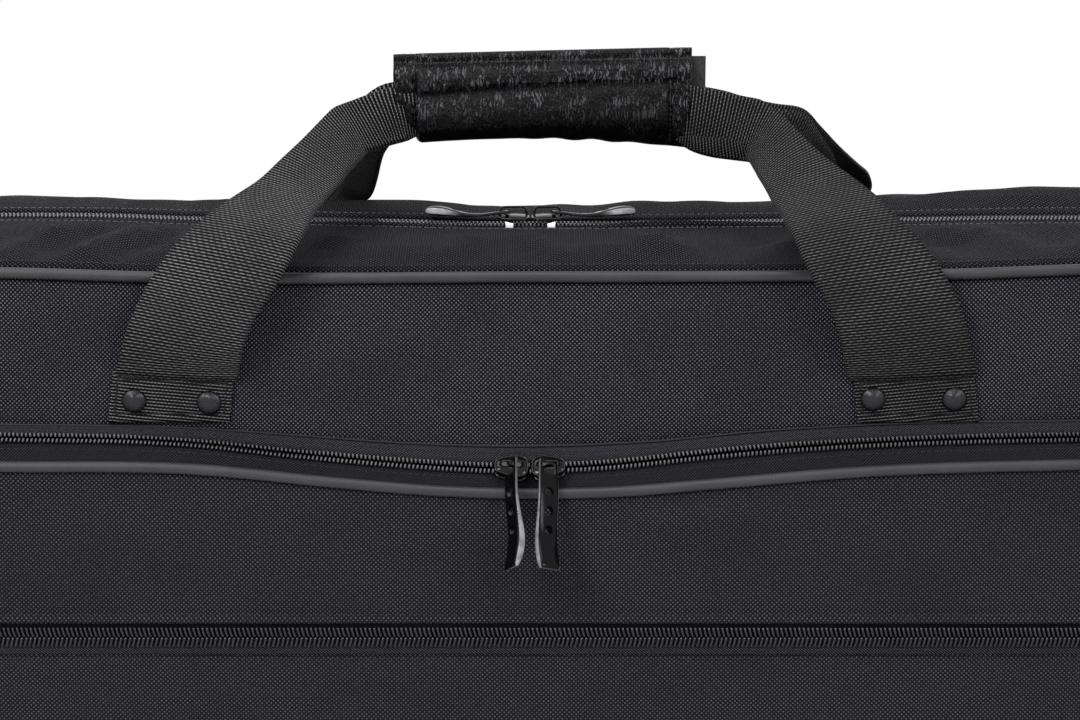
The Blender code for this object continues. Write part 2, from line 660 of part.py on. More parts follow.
def pocket_shell(carrier):
    """The pocket's front panel with the window for its flat zip, its side and bottom strip and its piping."""
    bm = prism(flattened(pocket_arcs(PANEL_INSET)), "Y", POCKET_FACE_Y, POCKET_BACK_Y)
    panel = add_piece("pocket_panel", mesh_from(bm, "pocket_panel"), OUTER_FABRIC, carrier)
    window = block(
        (-FLAT_ZIP_HALF_LENGTH, POCKET_FACE_Y - CUT_OVERRUN, FLAT_ZIP_Z - HALF_OPENING),
        (FLAT_ZIP_HALF_LENGTH, POCKET_BACK_Y + CUT_OVERRUN, FLAT_ZIP_Z + HALF_OPENING),
    )
    combine(panel, window, "DIFFERENCE")
    piping = flattened(pocket_arcs(PIPING_RADIUS))
    piping_ring("pocket_piping", piping, POCKET_PIPING_Y, carrier)
    arcs = pocket_arcs(0)
    seam_side = POCKET_SEAM_Z + pocket_line(POCKET_HALF_LENGTH)
    wall_top = seam_side + CUT_OVERRUN
    line = [(POCKET_HALF_LENGTH, wall_top), *arcs[4], *arcs[0], (-POCKET_HALF_LENGTH, wall_top)]
    section = rectangle(POCKET_WALL_EDGE_Y, POCKET_SEAM_Y, 0, POCKET_WALL)
    wall = swept(inward_frames(line, closed=False), section)
    strip = add_piece("pocket_gusset", mesh_from(wall, "pocket_gusset"), GUSSET_FABRIC, carrier)
    for side in (-1, 1):
        end_z = POCKET_SEAM_Z + pocket_line(side * POCKET_HALF_LENGTH)
        start = Vector((0, POCKET_SEAM_Y, end_z)) + OFF_SLOPE * TAPE_THICKNESS / 2
        high = start - DOWN_SLOPE * (CUT_OVERRUN + POCKET_ZIP_SLOPE)
        low = start + DOWN_SLOPE * (CUT_OVERRUN + POCKET_ZIP_SLOPE)
        away = OFF_SLOPE * POCKET_ZIP_SLOPE
        outline = [(p.y, p.z) for p in (low, high, high + away, low + away)]
        near = side * (POCKET_HALF_LENGTH - POCKET_WALL - CUT_OVERRUN)
        far = side * (POCKET_HALF_LENGTH + CUT_OVERRUN)
        combine(strip, prism(outline, "X", near, far), "DIFFERENCE")


def flat_pocket(carrier):
    """The second zip set in the pocket panel, and the shallow pouch sewn behind it."""
    reach = FLAT_ZIP_HALF_LENGTH - FIT_GAP
    tape_edge = HALF_OPENING - FIT_GAP
    coil_y, tape_y = COIL_THICKNESS / 2, TAPE_THICKNESS / 2
    for label, side in (("upper", 1), ("lower", -1)):
        tape = block(
            (-reach, FLAT_CHAIN_Y - tape_y, FLAT_ZIP_Z + side * TAPE_NEAR),
            (reach, FLAT_CHAIN_Y + tape_y, FLAT_ZIP_Z + side * tape_edge),
        )
        coil = block(
            (-reach, FLAT_CHAIN_Y - coil_y, FLAT_ZIP_Z + side * COIL_NEAR),
            (reach, FLAT_CHAIN_Y + coil_y, FLAT_ZIP_Z + side * COIL_FAR),
        )
        add_piece("flat_zip_" + label + "_tape", mesh_from(tape, "flat_tape"), ZIP_TAPE, carrier)
        add_piece("flat_zip_" + label + "_coil", mesh_from(coil, "flat_coil"), ZIP_COIL, carrier)
    front = POCKET_BACK_Y + FIT_GAP
    back = front + FLAT_POUCH_DEPTH
    half = FLAT_ZIP_HALF_LENGTH + FLAT_POUCH_ABOVE_ZIP - HALF_OPENING
    top = FLAT_ZIP_Z + FLAT_POUCH_ABOVE_ZIP
    pouch = block((-half, front, FLAT_POUCH_BOTTOM), (half, back, top))
    hollow = block(
        (-half + FLAT_POUCH_WALL, front - CUT_OVERRUN, FLAT_POUCH_BOTTOM + FLAT_POUCH_WALL),
        (half - FLAT_POUCH_WALL, back - FLAT_POUCH_WALL, top - FLAT_POUCH_WALL),
    )
    piece = add_piece("flat_pocket_pouch", mesh_from(pouch, "flat_pocket_pouch"), INNER_LINING, carrier)
    combine(piece, hollow, "DIFFERENCE")


def pocket_sliders(slider, pull, carrier):
    """Two sliders that meet in the middle of the pocket's zip, with pulls hanging over its front."""
    middle = DOWN_SLOPE * POCKET_ZIP_SLOPE / 2
    angle = atan2(POCKET_RISE, 1)
    droop = radians(POCKET_PULL_DROOP)
    for label, side, twist in (("left", -1, -LEFT_PULL_TWIST), ("right", 1, RIGHT_PULL_TWIST)):
        run = Vector((side * cos(angle), 0, sin(angle)))
        seam = Vector((ZIP_MEETING_X, POCKET_SEAM_Y, POCKET_SEAM_Z))
        place = seam + middle + run * (SLIDER_HALF_PITCH + FIT_GAP)
        slide = empty_at(label + "_pocket_slide", place, carrier)
        outward = (DOWN_SLOPE.cross(run) * side).normalized()
        matrix = frame_matrix(place, -run, outward)
        add_piece(label + "_pocket_slider", slider, BLACK_METAL, slide, matrix)
        crown = place + outward * BRIDGE_LINE
        swing = empty_at(label + "_pocket_pull_swing", crown, slide)
        right = run * side
        down = right.cross(outward).normalized()
        length_axis = down * cos(droop) - outward * sin(droop)
        face = length_axis.cross(right).normalized()
        turned = face * cos(radians(twist)) + right * sin(radians(twist))
        add_piece(label + "_pocket_pull", pull, BLACK_METAL, swing, frame_matrix(crown, length_axis, turned))


def flat_slider(slider, pull, carrier):
    """The flat pocket's single slider, parked at its right end with the pull hanging down."""
    x = FLAT_ZIP_HALF_LENGTH - POCKET_END_CLEARANCE - SLIDER_LENGTH / 2
    place = Vector((x, FLAT_CHAIN_Y, FLAT_ZIP_Z))
    slide = empty_at("flat_slide", place, carrier)
    front = Vector((0, -1, 0))
    add_piece("flat_slider", slider, BLACK_METAL, slide, frame_matrix(place, Vector((1, 0, 0)), front))
    crown = place + front * BRIDGE_LINE
    swing = empty_at("flat_pull_swing", crown, slide)
    twist = radians(RIGHT_PULL_TWIST)
    turned = front * cos(twist) + Vector((sin(twist), 0, 0))
    add_piece("flat_pull", pull, BLACK_METAL, swing, frame_matrix(crown, Vector((0, 0, -1)), turned))


def strap_patches(label, side, carrier):
    """The two sewn ends of a strap, each with two rivets, on the front (-1) or back (1) wall."""
    inner = PANEL_FACE_Y + FIT_GAP
    rivet_z = BAG_HEIGHT - RIVET_BELOW_TOP
    for end, x_side in (("left", -1), ("right", 1)):
        centre = x_side * STRAP_X
        name = label + "_" + end + "_strap_end"
        top = STRAP_PIVOT_Z - FIT_GAP
        bm = block(
            (centre - STRAP_WIDTH / 2, side * inner, STRAP_PIVOT_Z - PATCH_HEIGHT),
            (centre + STRAP_WIDTH / 2, side * PATCH_FACE_Y, top),
        )
        patch = add_piece(name, mesh_from(bm, name), WEBBING, carrier)
        for tag, offset in (("a", -RIVET_SPACING / 2), ("b", RIVET_SPACING / 2)):
            x = centre + offset
            reach = PATCH_FACE_Y + CUT_OVERRUN
            hole_radius = RIVET_SHANK / 2 + FIT_GAP
            hole = rod((x, 0, rivet_z), hole_radius, -reach, reach, RIVET_SIDES, Vector((0, 1, 0)))
            combine(patch, hole, "DIFFERENCE")
            rivet(name.replace("strap_end", "rivet_") + tag, x, side, rivet_z, carrier)


def rivet(name, x, side, z, carrier):
    """A domed rivet head on a short shank through the webbing."""
    profile = [(RIVET_SHANK / 2, PANEL_FACE_Y + FIT_GAP)]
    seat = PATCH_FACE_Y + FIT_GAP
    profile.append((RIVET_SHANK / 2, seat))
    for wide, high in RIVET_HEAD_SHARES:
        profile.append((wide * RIVET_DIAMETER / 2, seat + high * RIVET_HEAD))
    rings = []
    for radius, y in profile:
        angles = [2 * pi * k / RIVET_SIDES for k in range(RIVET_SIDES)]
        rings.append([(x + radius * cos(a), side * y, z + radius * sin(a)) for a in angles])
    add_piece(name, mesh_from(skin(rings), name), GUNMETAL, carrier)


def bezier_point(points, t):
    """A point of the cubic curve with four control points."""
    a, b, c, d = points
    u = 1 - t
    return a * u**3 + b * 3 * u**2 * t + c * 3 * u * t**2 + d * t**3


def bezier_slope(points, t):
    """The direction of the same curve."""
    a, b, c, d = points
    u = 1 - t
    return (b - a) * u**2 + (c - b) * 2 * u * t + (d - c) * t**2


def strap_stations():
    """Half of a front strap, from its left end to the grip.

    Each station holds its centre, the direction along the strap and across it, its width and its thickness.
    """
    start = Vector((-STRAP_X, -PANEL_FACE_Y - FIT_GAP - STRAP_THICKNESS / 2, STRAP_PIVOT_Z + FIT_GAP))
    knee = Vector((-KNEE_X, -KNEE_Y, BAG_HEIGHT + KNEE_RISE))
    leave = start + Vector((STRAP_LEAN, -STRAP_BOW, STRAP_LIFT))
    approach = knee - Vector(KNEE_APPROACH)
    stations = []
    for k in range(STRAP_STEPS + 1):
        t = k / STRAP_STEPS
        blend = t**TWIST_POWER
        along = bezier_slope((start, leave, approach, knee), t) if k else Vector((0, 0, 1))
        across = Vector((1, 0, 0)).lerp(Vector(KNEE_WIDTH_SHARES), blend)
        width = STRAP_WIDTH + (KNEE_WIDTH - STRAP_WIDTH) * blend
        thickness = STRAP_THICKNESS * (1 + blend)
        place = bezier_point((start, leave, approach, knee), t)
        stations.append((place, along, across, width, thickness))
    for x in (WRAP_LENGTH / 2 + BAND_LEAD, WRAP_LENGTH / 2 + FIT_GAP):
        place = Vector((-x, -BAND_Y, GRIP_Z))
        stations.append((place, Vector((1, 0, 0)), Vector((0, 0, -1)), BAND_HEIGHT, BAND_THICKNESS))
    return stations


def handle_strap(name, side, carrier):
    """One carrying strap, from its left end through the grip to its right end."""
    half = strap_stations()
    across_bag = Vector((-1, 1, 1))
    whole = list(half)
    for place, along, across, width, thickness in reversed(half):
        whole.append((place * across_bag, -along * across_bag, across * across_bag, width, thickness))
    through_bag = Vector((1, -side, 1))
    rings = []
    for place, along, across, width, thickness in whole:
        at = place * through_bag
        along = (along * through_bag).normalized()
        wide = across * through_bag
        wide = (wide - along * wide.dot(along)).normalized() * width / 2
        thick = along.cross(wide).normalized() * thickness / 2
        rings.append([at - wide - thick, at + wide - thick, at + wide + thick, at - wide + thick])
    add_piece(name, mesh_from(skin(rings), name), WEBBING, carrier)


def wrap_profile():
    """Rear half of the grip wrap's cross-section as (y, z) points: a round roll with a flat flange on top."""
    half_depth, half_height = WRAP_DEPTH / 2, WRAP_ROLL_HEIGHT / 2
    power = 2 / WRAP_ROUNDNESS
    last = acos((WRAP_FLANGE_THICKNESS / half_depth) ** (1 / power))
    points = [(SEAM_HALF_GAP, WRAP_BOTTOM)]
    for k in range(1, WRAP_STEPS + 1):
        angle = -pi / 2 + (last + pi / 2) * k / WRAP_STEPS
        y = half_depth * abs(cos(angle)) ** power
        rise = half_height * abs(sin(angle)) ** power
        points.append((y, GRIP_Z + (rise if angle > 0 else -rise)))
    tape_foot = WRAP_TOP - WRAP_FLANGE_HEIGHT - CLOSURE_TAPE_BELOW
    half_pocket = BAND_HEIGHT / 2 + FIT_GAP
    points += [
        (WRAP_FLANGE_THICKNESS, WRAP_TOP),
        (TAPE_SEAT_Y, WRAP_TOP),
        (TAPE_SEAT_Y, tape_foot),
        (SEAM_HALF_GAP, tape_foot),
        (SEAM_HALF_GAP, GRIP_Z + half_pocket),
        (BAND_POCKET_Y, GRIP_Z + half_pocket),
        (BAND_POCKET_Y, GRIP_Z - half_pocket),
        (SEAM_HALF_GAP, GRIP_Z - half_pocket),
    ]
    return points


def grip_wrap(rear_carrier, flap_carrier):
    """The wrap that holds both straps together: its rear half, its front flap and the closure tapes."""
    half = WRAP_LENGTH / 2
    low = WRAP_TOP - WRAP_FLANGE_HEIGHT - CLOSURE_TAPE_BELOW + FIT_GAP
    high = WRAP_TOP - FIT_GAP
    outer = SEAM_HALF_GAP + CLOSURE_TAPE
    for name, side, carrier in (("wrap_rear", 1, rear_carrier), ("wrap_front_flap", -1, flap_carrier)):
        outline = [(side * y, z) for y, z in wrap_profile()]
        mesh = mesh_from(prism(outline, "X", -half, half), name)
        add_piece(name, mesh, GRIP_LEATHER, carrier)
    end = half - CLOSURE_END
    hook = block((-end, SEAM_HALF_GAP, low), (half + HOOK_OVERHANG, outer, high))
    loop = block((-end, -outer, low), (end, -SEAM_HALF_GAP, high))
    add_piece("wrap_hook_tape", mesh_from(hook, "hook_tape"), CLOSURE_FABRIC, rear_carrier)
    add_piece("wrap_loop_tape", mesh_from(loop, "loop_tape"), CLOSURE_FABRIC, flap_carrier)


def build():
    """Make every piece of the bag."""
    clear_scene()
    tray = empty_at("tray_mark", Vector((0, 0, 0)))
    cover = empty_at("cover_hinge", Vector((0, -PIPING_LINE_Y, PIPING_RADIUS)))
    front_swing = empty_at("front_handle_swing", Vector((0, -PATCH_FACE_Y, STRAP_PIVOT_Z)), cover)
    rear_swing = empty_at("rear_handle_swing", Vector((0, PATCH_FACE_Y, STRAP_PIVOT_Z)), tray)
    flap_swing = empty_at("wrap_flap_swing", Vector((0, 0, WRAP_BOTTOM)), rear_swing)

    padded_wall("back", 1, tray)
    gusset_and_zip("back", 1, tray)
    piping_ring("back_piping", body_outline(PIPING_RADIUS), PIPING_LINE_Y, tray)
    base_gusset()
    zip_end_stops()
    strap_patches("rear", 1, tray)

    padded_wall("front", -1, cover)
    gusset_and_zip("front", -1, cover)
    piping_ring("front_piping", body_outline(PIPING_RADIUS), -PIPING_LINE_Y, cover)
    pocket_zip(cover)
    pocket_shell(cover)
    flat_pocket(cover)
    strap_patches("front", -1, cover)

    handle_strap("front_handle_strap", -1, front_swing)
    handle_strap("rear_handle_strap", 1, rear_swing)
    grip_wrap(rear_swing, flap_swing)

    slider = slider_mesh()
    crown_to_bar = PULL_BAR / 2 + FIT_GAP + hypot(BRIDGE_WIDTH, BRIDGE_THICKNESS) / 2
    hanging = pull_mesh("hanging_pull", POCKET_PULL_LENGTH, crown_to_bar, -1)
    flat_hanging = pull_mesh("flat_hanging_pull", POCKET_PULL_LENGTH, crown_to_bar, 1)
    main_sliders(slider, tray)
    pocket_sliders(slider, hanging, cover)
    flat_slider(slider, flat_hanging, cover)


build()
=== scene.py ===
"""Looks of the keyboard gig bag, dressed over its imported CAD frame.

Lengths in the tables below are in millimetres, and meshes are made in metres.
X runs along the bag, -Y is its front, Z is up. Both halves are made by the same
functions, with side -1 for the front half (the cover) and 1 for the back half (the tray).
"""
from math import cos, pi, radians, sin

import bmesh
import bpy
import numpy as np
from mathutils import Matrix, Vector


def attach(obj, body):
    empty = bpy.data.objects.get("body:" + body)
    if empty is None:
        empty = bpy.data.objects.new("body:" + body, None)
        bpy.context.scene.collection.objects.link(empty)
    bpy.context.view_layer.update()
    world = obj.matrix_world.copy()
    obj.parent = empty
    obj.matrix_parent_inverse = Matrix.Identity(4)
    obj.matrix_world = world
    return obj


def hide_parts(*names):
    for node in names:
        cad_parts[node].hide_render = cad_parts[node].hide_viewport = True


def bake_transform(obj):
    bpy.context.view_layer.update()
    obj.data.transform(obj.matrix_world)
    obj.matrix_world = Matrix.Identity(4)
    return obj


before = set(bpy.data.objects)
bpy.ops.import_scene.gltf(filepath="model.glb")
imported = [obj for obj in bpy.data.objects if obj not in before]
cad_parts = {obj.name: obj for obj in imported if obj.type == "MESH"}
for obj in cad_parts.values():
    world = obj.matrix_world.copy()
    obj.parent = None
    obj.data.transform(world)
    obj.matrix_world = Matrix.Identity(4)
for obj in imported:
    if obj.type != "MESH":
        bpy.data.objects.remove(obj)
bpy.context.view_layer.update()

MM = 0.001

# Helpers


def rows(*items):
    """A table of numbers as an array."""
    return np.array(items, float)


def xyz(x, y, z):
    """Points from their coordinates, any of which may be one number."""
    return np.stack(np.broadcast_arrays(x, y, z), -1)


def pairs(a, b):
    """Every pair of two lists of numbers, as a grid."""
    return np.stack(np.meshgrid(a, b, indexing="ij"), -1)


def rounded(edge, radius):
    """How full a rounded edge is, from nearly 0 at the rim to 1 at its radius."""
    return np.sqrt(1 - (1 - edge / radius) ** 2 * 0.999)


def smoothstep(low, high, value):
    """0 below low, 1 above high, smooth between."""
    t = np.clip((np.asarray(value, float) - low) / (high - low), 0, 1)
    return t * t * (3 - 2 * t)


def table(x, points):
    """A smooth curve through (x, value) rows, level beyond its ends."""
    points = np.asarray(points, float)
    xs, ys = points[:, 0], points[:, 1]
    slope = np.gradient(ys, xs)
    slope[0] = slope[-1] = 0
    x = np.clip(np.asarray(x, float), xs[0], xs[-1])
    i = np.clip(np.searchsorted(xs, x) - 1, 0, len(xs) - 2)
    h = xs[i + 1] - xs[i]
    t = (x - xs[i]) / h
    a = (1 + 2 * t) * (1 - t) ** 2 * ys[i] + t * (1 - t) ** 2 * h * slope[i]
    return a + t * t * (3 - 2 * t) * ys[i + 1] + t * t * (t - 1) * h * slope[i + 1]


def curve(points, count, closed=False):
    """Evenly spaced points on a smooth curve through the given ones."""
    p = np.asarray(points, float)
    if closed:
        p = np.concatenate([p, p[:1]])
    n = len(p)
    if closed:
        before, after = np.concatenate([p[-2:-1], p[:-1]]), np.concatenate([p[1:], p[1:2]])
    else:
        before, after = np.concatenate([p[:1], p[:-1]]), np.concatenate([p[1:], p[-1:]])
    tangent = (after - before) / 2
    t = np.linspace(0, n - 1, 24 * (n - 1) + 1)
    i = np.minimum(t.astype(int), n - 2)
    f = (t - i)[:, None]
    dense = (1 + 2 * f) * (1 - f) ** 2 * p[i] + f * (1 - f) ** 2 * tangent[i]
    dense += f * f * (3 - 2 * f) * p[i + 1] + f * f * (f - 1) * tangent[i + 1]
    run = np.concatenate([[0], np.cumsum(np.linalg.norm(np.diff(dense, axis=0), axis=1))])
    at = np.linspace(0, run[-1], count + 1)[:-1] if closed else np.linspace(0, run[-1], count)
    return np.stack([np.interp(at, run, dense[:, k]) for k in range(p.shape[1])], 1)


def run_of(points, closed=False):
    """How far along a line of points each one is, and the first again if it is closed."""
    if closed:
        points = np.concatenate([points, points[:1]])
    step = np.linalg.norm(np.diff(points, axis=0), axis=1)
    return np.concatenate([[0], np.cumsum(step)])


def ripple(u, v, seed, size):
    """A soft unevenness about -1 to 1, with bumps of about the given size."""
    rng = np.random.default_rng(seed)
    total = 0
    for _ in range(7):
        turn, phase = rng.uniform(0, 2 * pi, 2)
        k = 2 * pi / size * rng.uniform(0.55, 1.5)
        total = total + np.sin(k * (u * cos(turn) + v * sin(turn)) + phase)
    return total / 3.6


def finish_piece(obj, body, replaces=()):
    """Put a piece on its body and hide the nodes it stands for."""
    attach(obj, body)
    if replaces:
        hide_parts(*replaces)
    return obj


def new_object(name, points, faces, material, uvs=None, outward=True, smooth=True):
    """An object from points in millimetres. uvs holds one pair of metres for each face corner."""
    mesh = bpy.data.meshes.new(name)
    mesh.from_pydata((np.asarray(points, float) * MM).tolist(), [], [list(f) for f in faces])
    if uvs is not None:
        layer = mesh.uv_layers.new(name="weave")
        layer.uv.foreach_set("vector", (np.asarray(uvs, float) * MM).astype(np.float32).ravel())
    if outward:
        bm = bmesh.new()
        bm.from_mesh(mesh)
        bmesh.ops.recalc_face_normals(bm, faces=bm.faces)
        bm.to_mesh(mesh)
        bm.free()
    if smooth:
        mesh.shade_smooth()
        mesh.set_sharp_from_angle(angle=radians(55))
    obj = bpy.data.objects.new(name, mesh)
    bpy.context.scene.collection.objects.link(obj)
    mesh.materials.append(material)
    return obj


def grid_faces(n, m, wrap_i=False, wrap_j=False, start=0):
    """Faces of an n by m grid of points, and each corner's (row, column)."""
    i, j = np.meshgrid(np.arange(n if wrap_i else n - 1), np.arange(m if wrap_j else m - 1), indexing="ij")
    i, j = i.ravel(), j.ravel()
    corners = [(i, j), (i + 1, j), (i + 1, j + 1), (i, j + 1)]
    faces = np.stack([start + (a % n) * m + (b % m) for a, b in corners], 1)
    return faces, np.stack([np.stack(c, 1) for c in corners], 1)


def swept_solid(name, loops, material, closed=False, uv=None):
    """A closed solid: loops is rows of closed sections (n, m, 3), capped unless the row closes on itself."""
    loops = np.asarray(loops, float)
    n, m = loops.shape[:2]
    faces, corners = grid_faces(n, m, wrap_i=closed, wrap_j=True)
    if uv is None:
        uv = pairs(run_of(loops[:, 0], closed=True), run_of(loops[n // 2], closed=True))
    uvs = [tuple(uv[c[0], c[1]]) for face in corners for c in face]
    faces = faces.tolist()
    if not closed:
        for r, order in ((0, 1), (n - 1, -1)):
            faces.append([r * m + k for k in range(m)][::order])
            uvs += [(loops[r, k % m, 1], loops[r, k % m, 2]) for k in range(m)][::order]
    return new_object(name, loops.reshape(-1, 3), faces, material, uvs)


def shell(name, outer, inner, material, uv):
    """A closed shell from two grids of points that match, joined round their edge."""
    n, m = outer.shape[:2]
    points = np.concatenate([outer.reshape(-1, 3), inner.reshape(-1, 3)])
    faces, corners = grid_faces(n, m)
    uvs = [tuple(uv[c[0], c[1]]) for face in corners for c in face]
    back = faces[:, ::-1] + n * m
    uvs += [tuple(uv[c[0], c[1]]) for face in corners[:, ::-1] for c in face]
    rim = [(0, j) for j in range(m - 1)] + [(i, m - 1) for i in range(n - 1)]
    rim += [(n - 1, j) for j in range(m - 1, 0, -1)] + [(i, 0) for i in range(n - 1, 0, -1)]
    walls = []
    for a, b in zip(rim, rim[1:] + rim[:1]):
        ia, ib = a[0] * m + a[1], b[0] * m + b[1]
        walls.append([ib, ia, ia + n * m, ib + n * m])
        uvs += [tuple(uv[b]), tuple(uv[a]), tuple(uv[a]), tuple(uv[b])]
    return new_object(name, points, faces.tolist() + back.tolist() + walls, material, uvs)


def frames_of(line, up):
    """Along, sideways and up directions at each point of a line, given its up directions."""
    along = np.gradient(line, axis=0)
    along /= np.linalg.norm(along, axis=1)[:, None]
    side = np.cross(up, along)
    side /= np.linalg.norm(side, axis=1)[:, None]
    return along, side, np.cross(along, side)


def tube(name, line, radius, material, sides=12, closed=False, up=(0, 1, 0)):
    """A round cord along a line of points."""
    line = np.asarray(line, float)
    if closed:
        around = np.concatenate([line[-1:], line, line[:1]])
        _, side, over = (a[1:-1] for a in frames_of(around, np.broadcast_to(up, around.shape)))
    else:
        _, side, over = frames_of(line, np.broadcast_to(up, line.shape))
    turn = np.linspace(0, 2 * pi, sides, endpoint=False)
    radius = np.broadcast_to(radius, len(line))[:, None, None]
    section = side[:, None] * np.cos(turn)[None, :, None] + over[:, None] * np.sin(turn)[None, :, None]
    return swept_solid(name, line[:, None] + radius * section, material, closed=closed)


def many(name, shape_points, shape_faces, places, material):
    """One object of many copies of a small closed shape. places holds (origin, x, y, z directions)."""
    shape = np.asarray(shape_points, float)
    points, faces = [], []
    step = len(shape)
    for k, (origin, x, y, z) in enumerate(places):
        points.append(origin + shape[:, :1] * x + shape[:, 1:2] * y + shape[:, 2:] * z)
        faces += [[c + k * step for c in f] for f in shape_faces]
    return new_object(name, np.concatenate(points), faces, material, None, outward=False)


def bead(length, wide, high, sides=6, taper=0.55):
    """A small bar with rounded ends, along its own x, sitting about its middle."""
    stations = ((-0.5, taper * 0.5), (-0.42, taper * 1.35), (0, 1), (0.42, taper * 1.35), (0.5, taper * 0.5))
    points, faces = [], []
    for x, share in stations:
        share = min(share, 1)
        for k in range(sides):
            turn = 2 * pi * k / sides
            points.append((x * length, share * wide / 2 * cos(turn), share * high / 2 * sin(turn)))
    for r in range(len(stations) - 1):
        for k in range(sides):
            a, b = r * sides + k, r * sides + (k + 1) % sides
            faces.append([a, a + sides, b + sides, b][::-1])
    faces.append(list(range(sides))[::-1])
    last = (len(stations) - 1) * sides
    faces.append([last + k for k in range(sides)])
    return points, [f[::-1] for f in faces]


def stitch_places(lines, pitch, lift):
    """Where the stitches of some seams go. Each line is (points, outward directions)."""
    places = []
    for line, out in lines:
        line, out = np.asarray(line, float), np.broadcast_to(out, np.shape(line)).astype(float)
        run = run_of(line)
        count = max(int(run[-1] / pitch), 1)
        at = (np.arange(count) + 0.5) * run[-1] / count
        for s in at:
            ends = [
                np.array([np.interp(q, run, line[:, k]) for k in range(3)])
                for q in (s - pitch * 0.3, s + pitch * 0.3)
            ]
            normal = np.array([np.interp(s, run, out[:, k]) for k in range(3)])
            x = ends[1] - ends[0]
            x /= max(np.linalg.norm(x), 1e-9)
            normal -= x * normal.dot(x)
            normal /= np.linalg.norm(normal)
            places.append(((ends[0] + ends[1]) / 2 + normal * lift, x, np.cross(normal, x), normal))
    return places


def stitches(name, lines, body, material, length=2.1, pitch=3.0, thick=0.55, lift=0.05):
    """Rows of sewn stitches as one piece."""
    points, faces = bead(length, thick, thick * 0.75)
    obj = many(name, points, faces, stitch_places(lines, pitch, lift), material)
    return finish_piece(obj, body)


# Materials


class Nodes:
    """The nodes of a material or of the world."""

    def __init__(self, owner, output):
        owner.use_nodes = True
        self.tree = owner.node_tree
        self.tree.nodes.clear()
        self.surface = self.node(output).inputs["Surface"]

    def node(self, kind, **settings):
        made = self.tree.nodes.new(kind)
        for key, value in settings.items():
            setattr(made, key, value)
        return made

    def put(self, socket, value):
        if isinstance(value, bpy.types.NodeSocket):
            self.tree.links.new(value, socket)
        elif isinstance(value, (tuple, list)) and len(value) == 3 and socket.type == "RGBA":
            socket.default_value = (*value, 1)
        else:
            socket.default_value = value

    def math(self, operation, a, b=0.0, c=0.0):
        made = self.node("ShaderNodeMath", operation=operation)
        for socket, value in zip(made.inputs, (a, b, c)):
            self.put(socket, value)
        return made.outputs[0]

    def times(self, a, b):
        return self.math("MULTIPLY", a, b)

    def plus(self, a, b):
        return self.math("ADD", a, b)

    def less(self, a, b):
        return self.math("SUBTRACT", a, b)

    def size_of(self, a):
        return self.math("ABSOLUTE", a)

    def wave(self, value, length):
        """A sine that repeats after each length."""
        return self.math("SINE", self.times(value, 2 * pi / length))

    def mix(self, share, a, b):
        made = self.node("ShaderNodeMix", data_type="RGBA")
        self.put(made.inputs[0], share)
        self.put(made.inputs[6], a)
        self.put(made.inputs[7], b)
        return made.outputs[2]

    def ramp(self, value, low, high, new_low=0.0, new_high=1.0, smooth=True):
        made = self.node("ShaderNodeMapRange", interpolation_type="SMOOTHSTEP" if smooth else "LINEAR")
        for socket, number in zip(made.inputs[:5], (value, low, high, new_low, new_high)):
            self.put(socket, number)
        return made.outputs[0]

    def place(self, woven=True):
        """Metres along the cloth, or in the object's own space."""
        if woven:
            return self.node("ShaderNodeUVMap", uv_map="weave").outputs["UV"]
        return self.node("ShaderNodeTexCoord").outputs["Object"]

    def split(self, source):
        made = self.node("ShaderNodeSeparateXYZ")
        self.put(made.inputs[0], source)
        return made.outputs

    def join(self, x, y, z=0.0):
        made = self.node("ShaderNodeCombineXYZ")
        for socket, value in zip(made.inputs, (x, y, z)):
            self.put(socket, value)
        return made.outputs[0]

    def noise(self, source, size, detail=2.0, rough=0.5):
        """Noise with features of about size metres."""
        made = self.node("ShaderNodeTexNoise")
        self.put(made.inputs["Vector"], source)
        made.inputs["Scale"].default_value = 1 / size
        made.inputs["Detail"].default_value = detail
        made.inputs["Roughness"].default_value = rough
        return made.outputs["Fac"]

    def bump(self, height, depth, strength=1.0, normal=None):
        made = self.node("ShaderNodeBump")
        made.inputs["Strength"].default_value = strength
        made.inputs["Distance"].default_value = depth
        self.put(made.inputs["Height"], height)
        if normal:
            self.put(made.inputs["Normal"], normal)
        return made.outputs["Normal"]

    def backdrop_rays(self):
        """1 for the rays that show the white background: camera, glossy and transmission rays."""
        path = self.node("ShaderNodeLightPath").outputs
        seen = self.math("MAXIMUM", path["Is Camera Ray"], path["Is Glossy Ray"])
        return self.math("MAXIMUM", seen, path["Is Transmission Ray"])


class Finish(Nodes):
    """A material built from nodes."""

    def __init__(self, name):
        self.material = bpy.data.materials.new(name)
        super().__init__(self.material, "ShaderNodeOutputMaterial")
        self.shader = self.node("ShaderNodeBsdfPrincipled")
        self.put(self.surface, self.shader.outputs["BSDF"])

    def done(self, colour, roughness, normal=None, **constants):
        self.put(self.shader.inputs["Base Color"], colour)
        self.put(self.shader.inputs["Roughness"], roughness)
        if normal:
            self.put(self.shader.inputs["Normal"], normal)
        for key, value in constants.items():
            self.put(self.shader.inputs[key.replace("_", " ")], value)
        return self.material


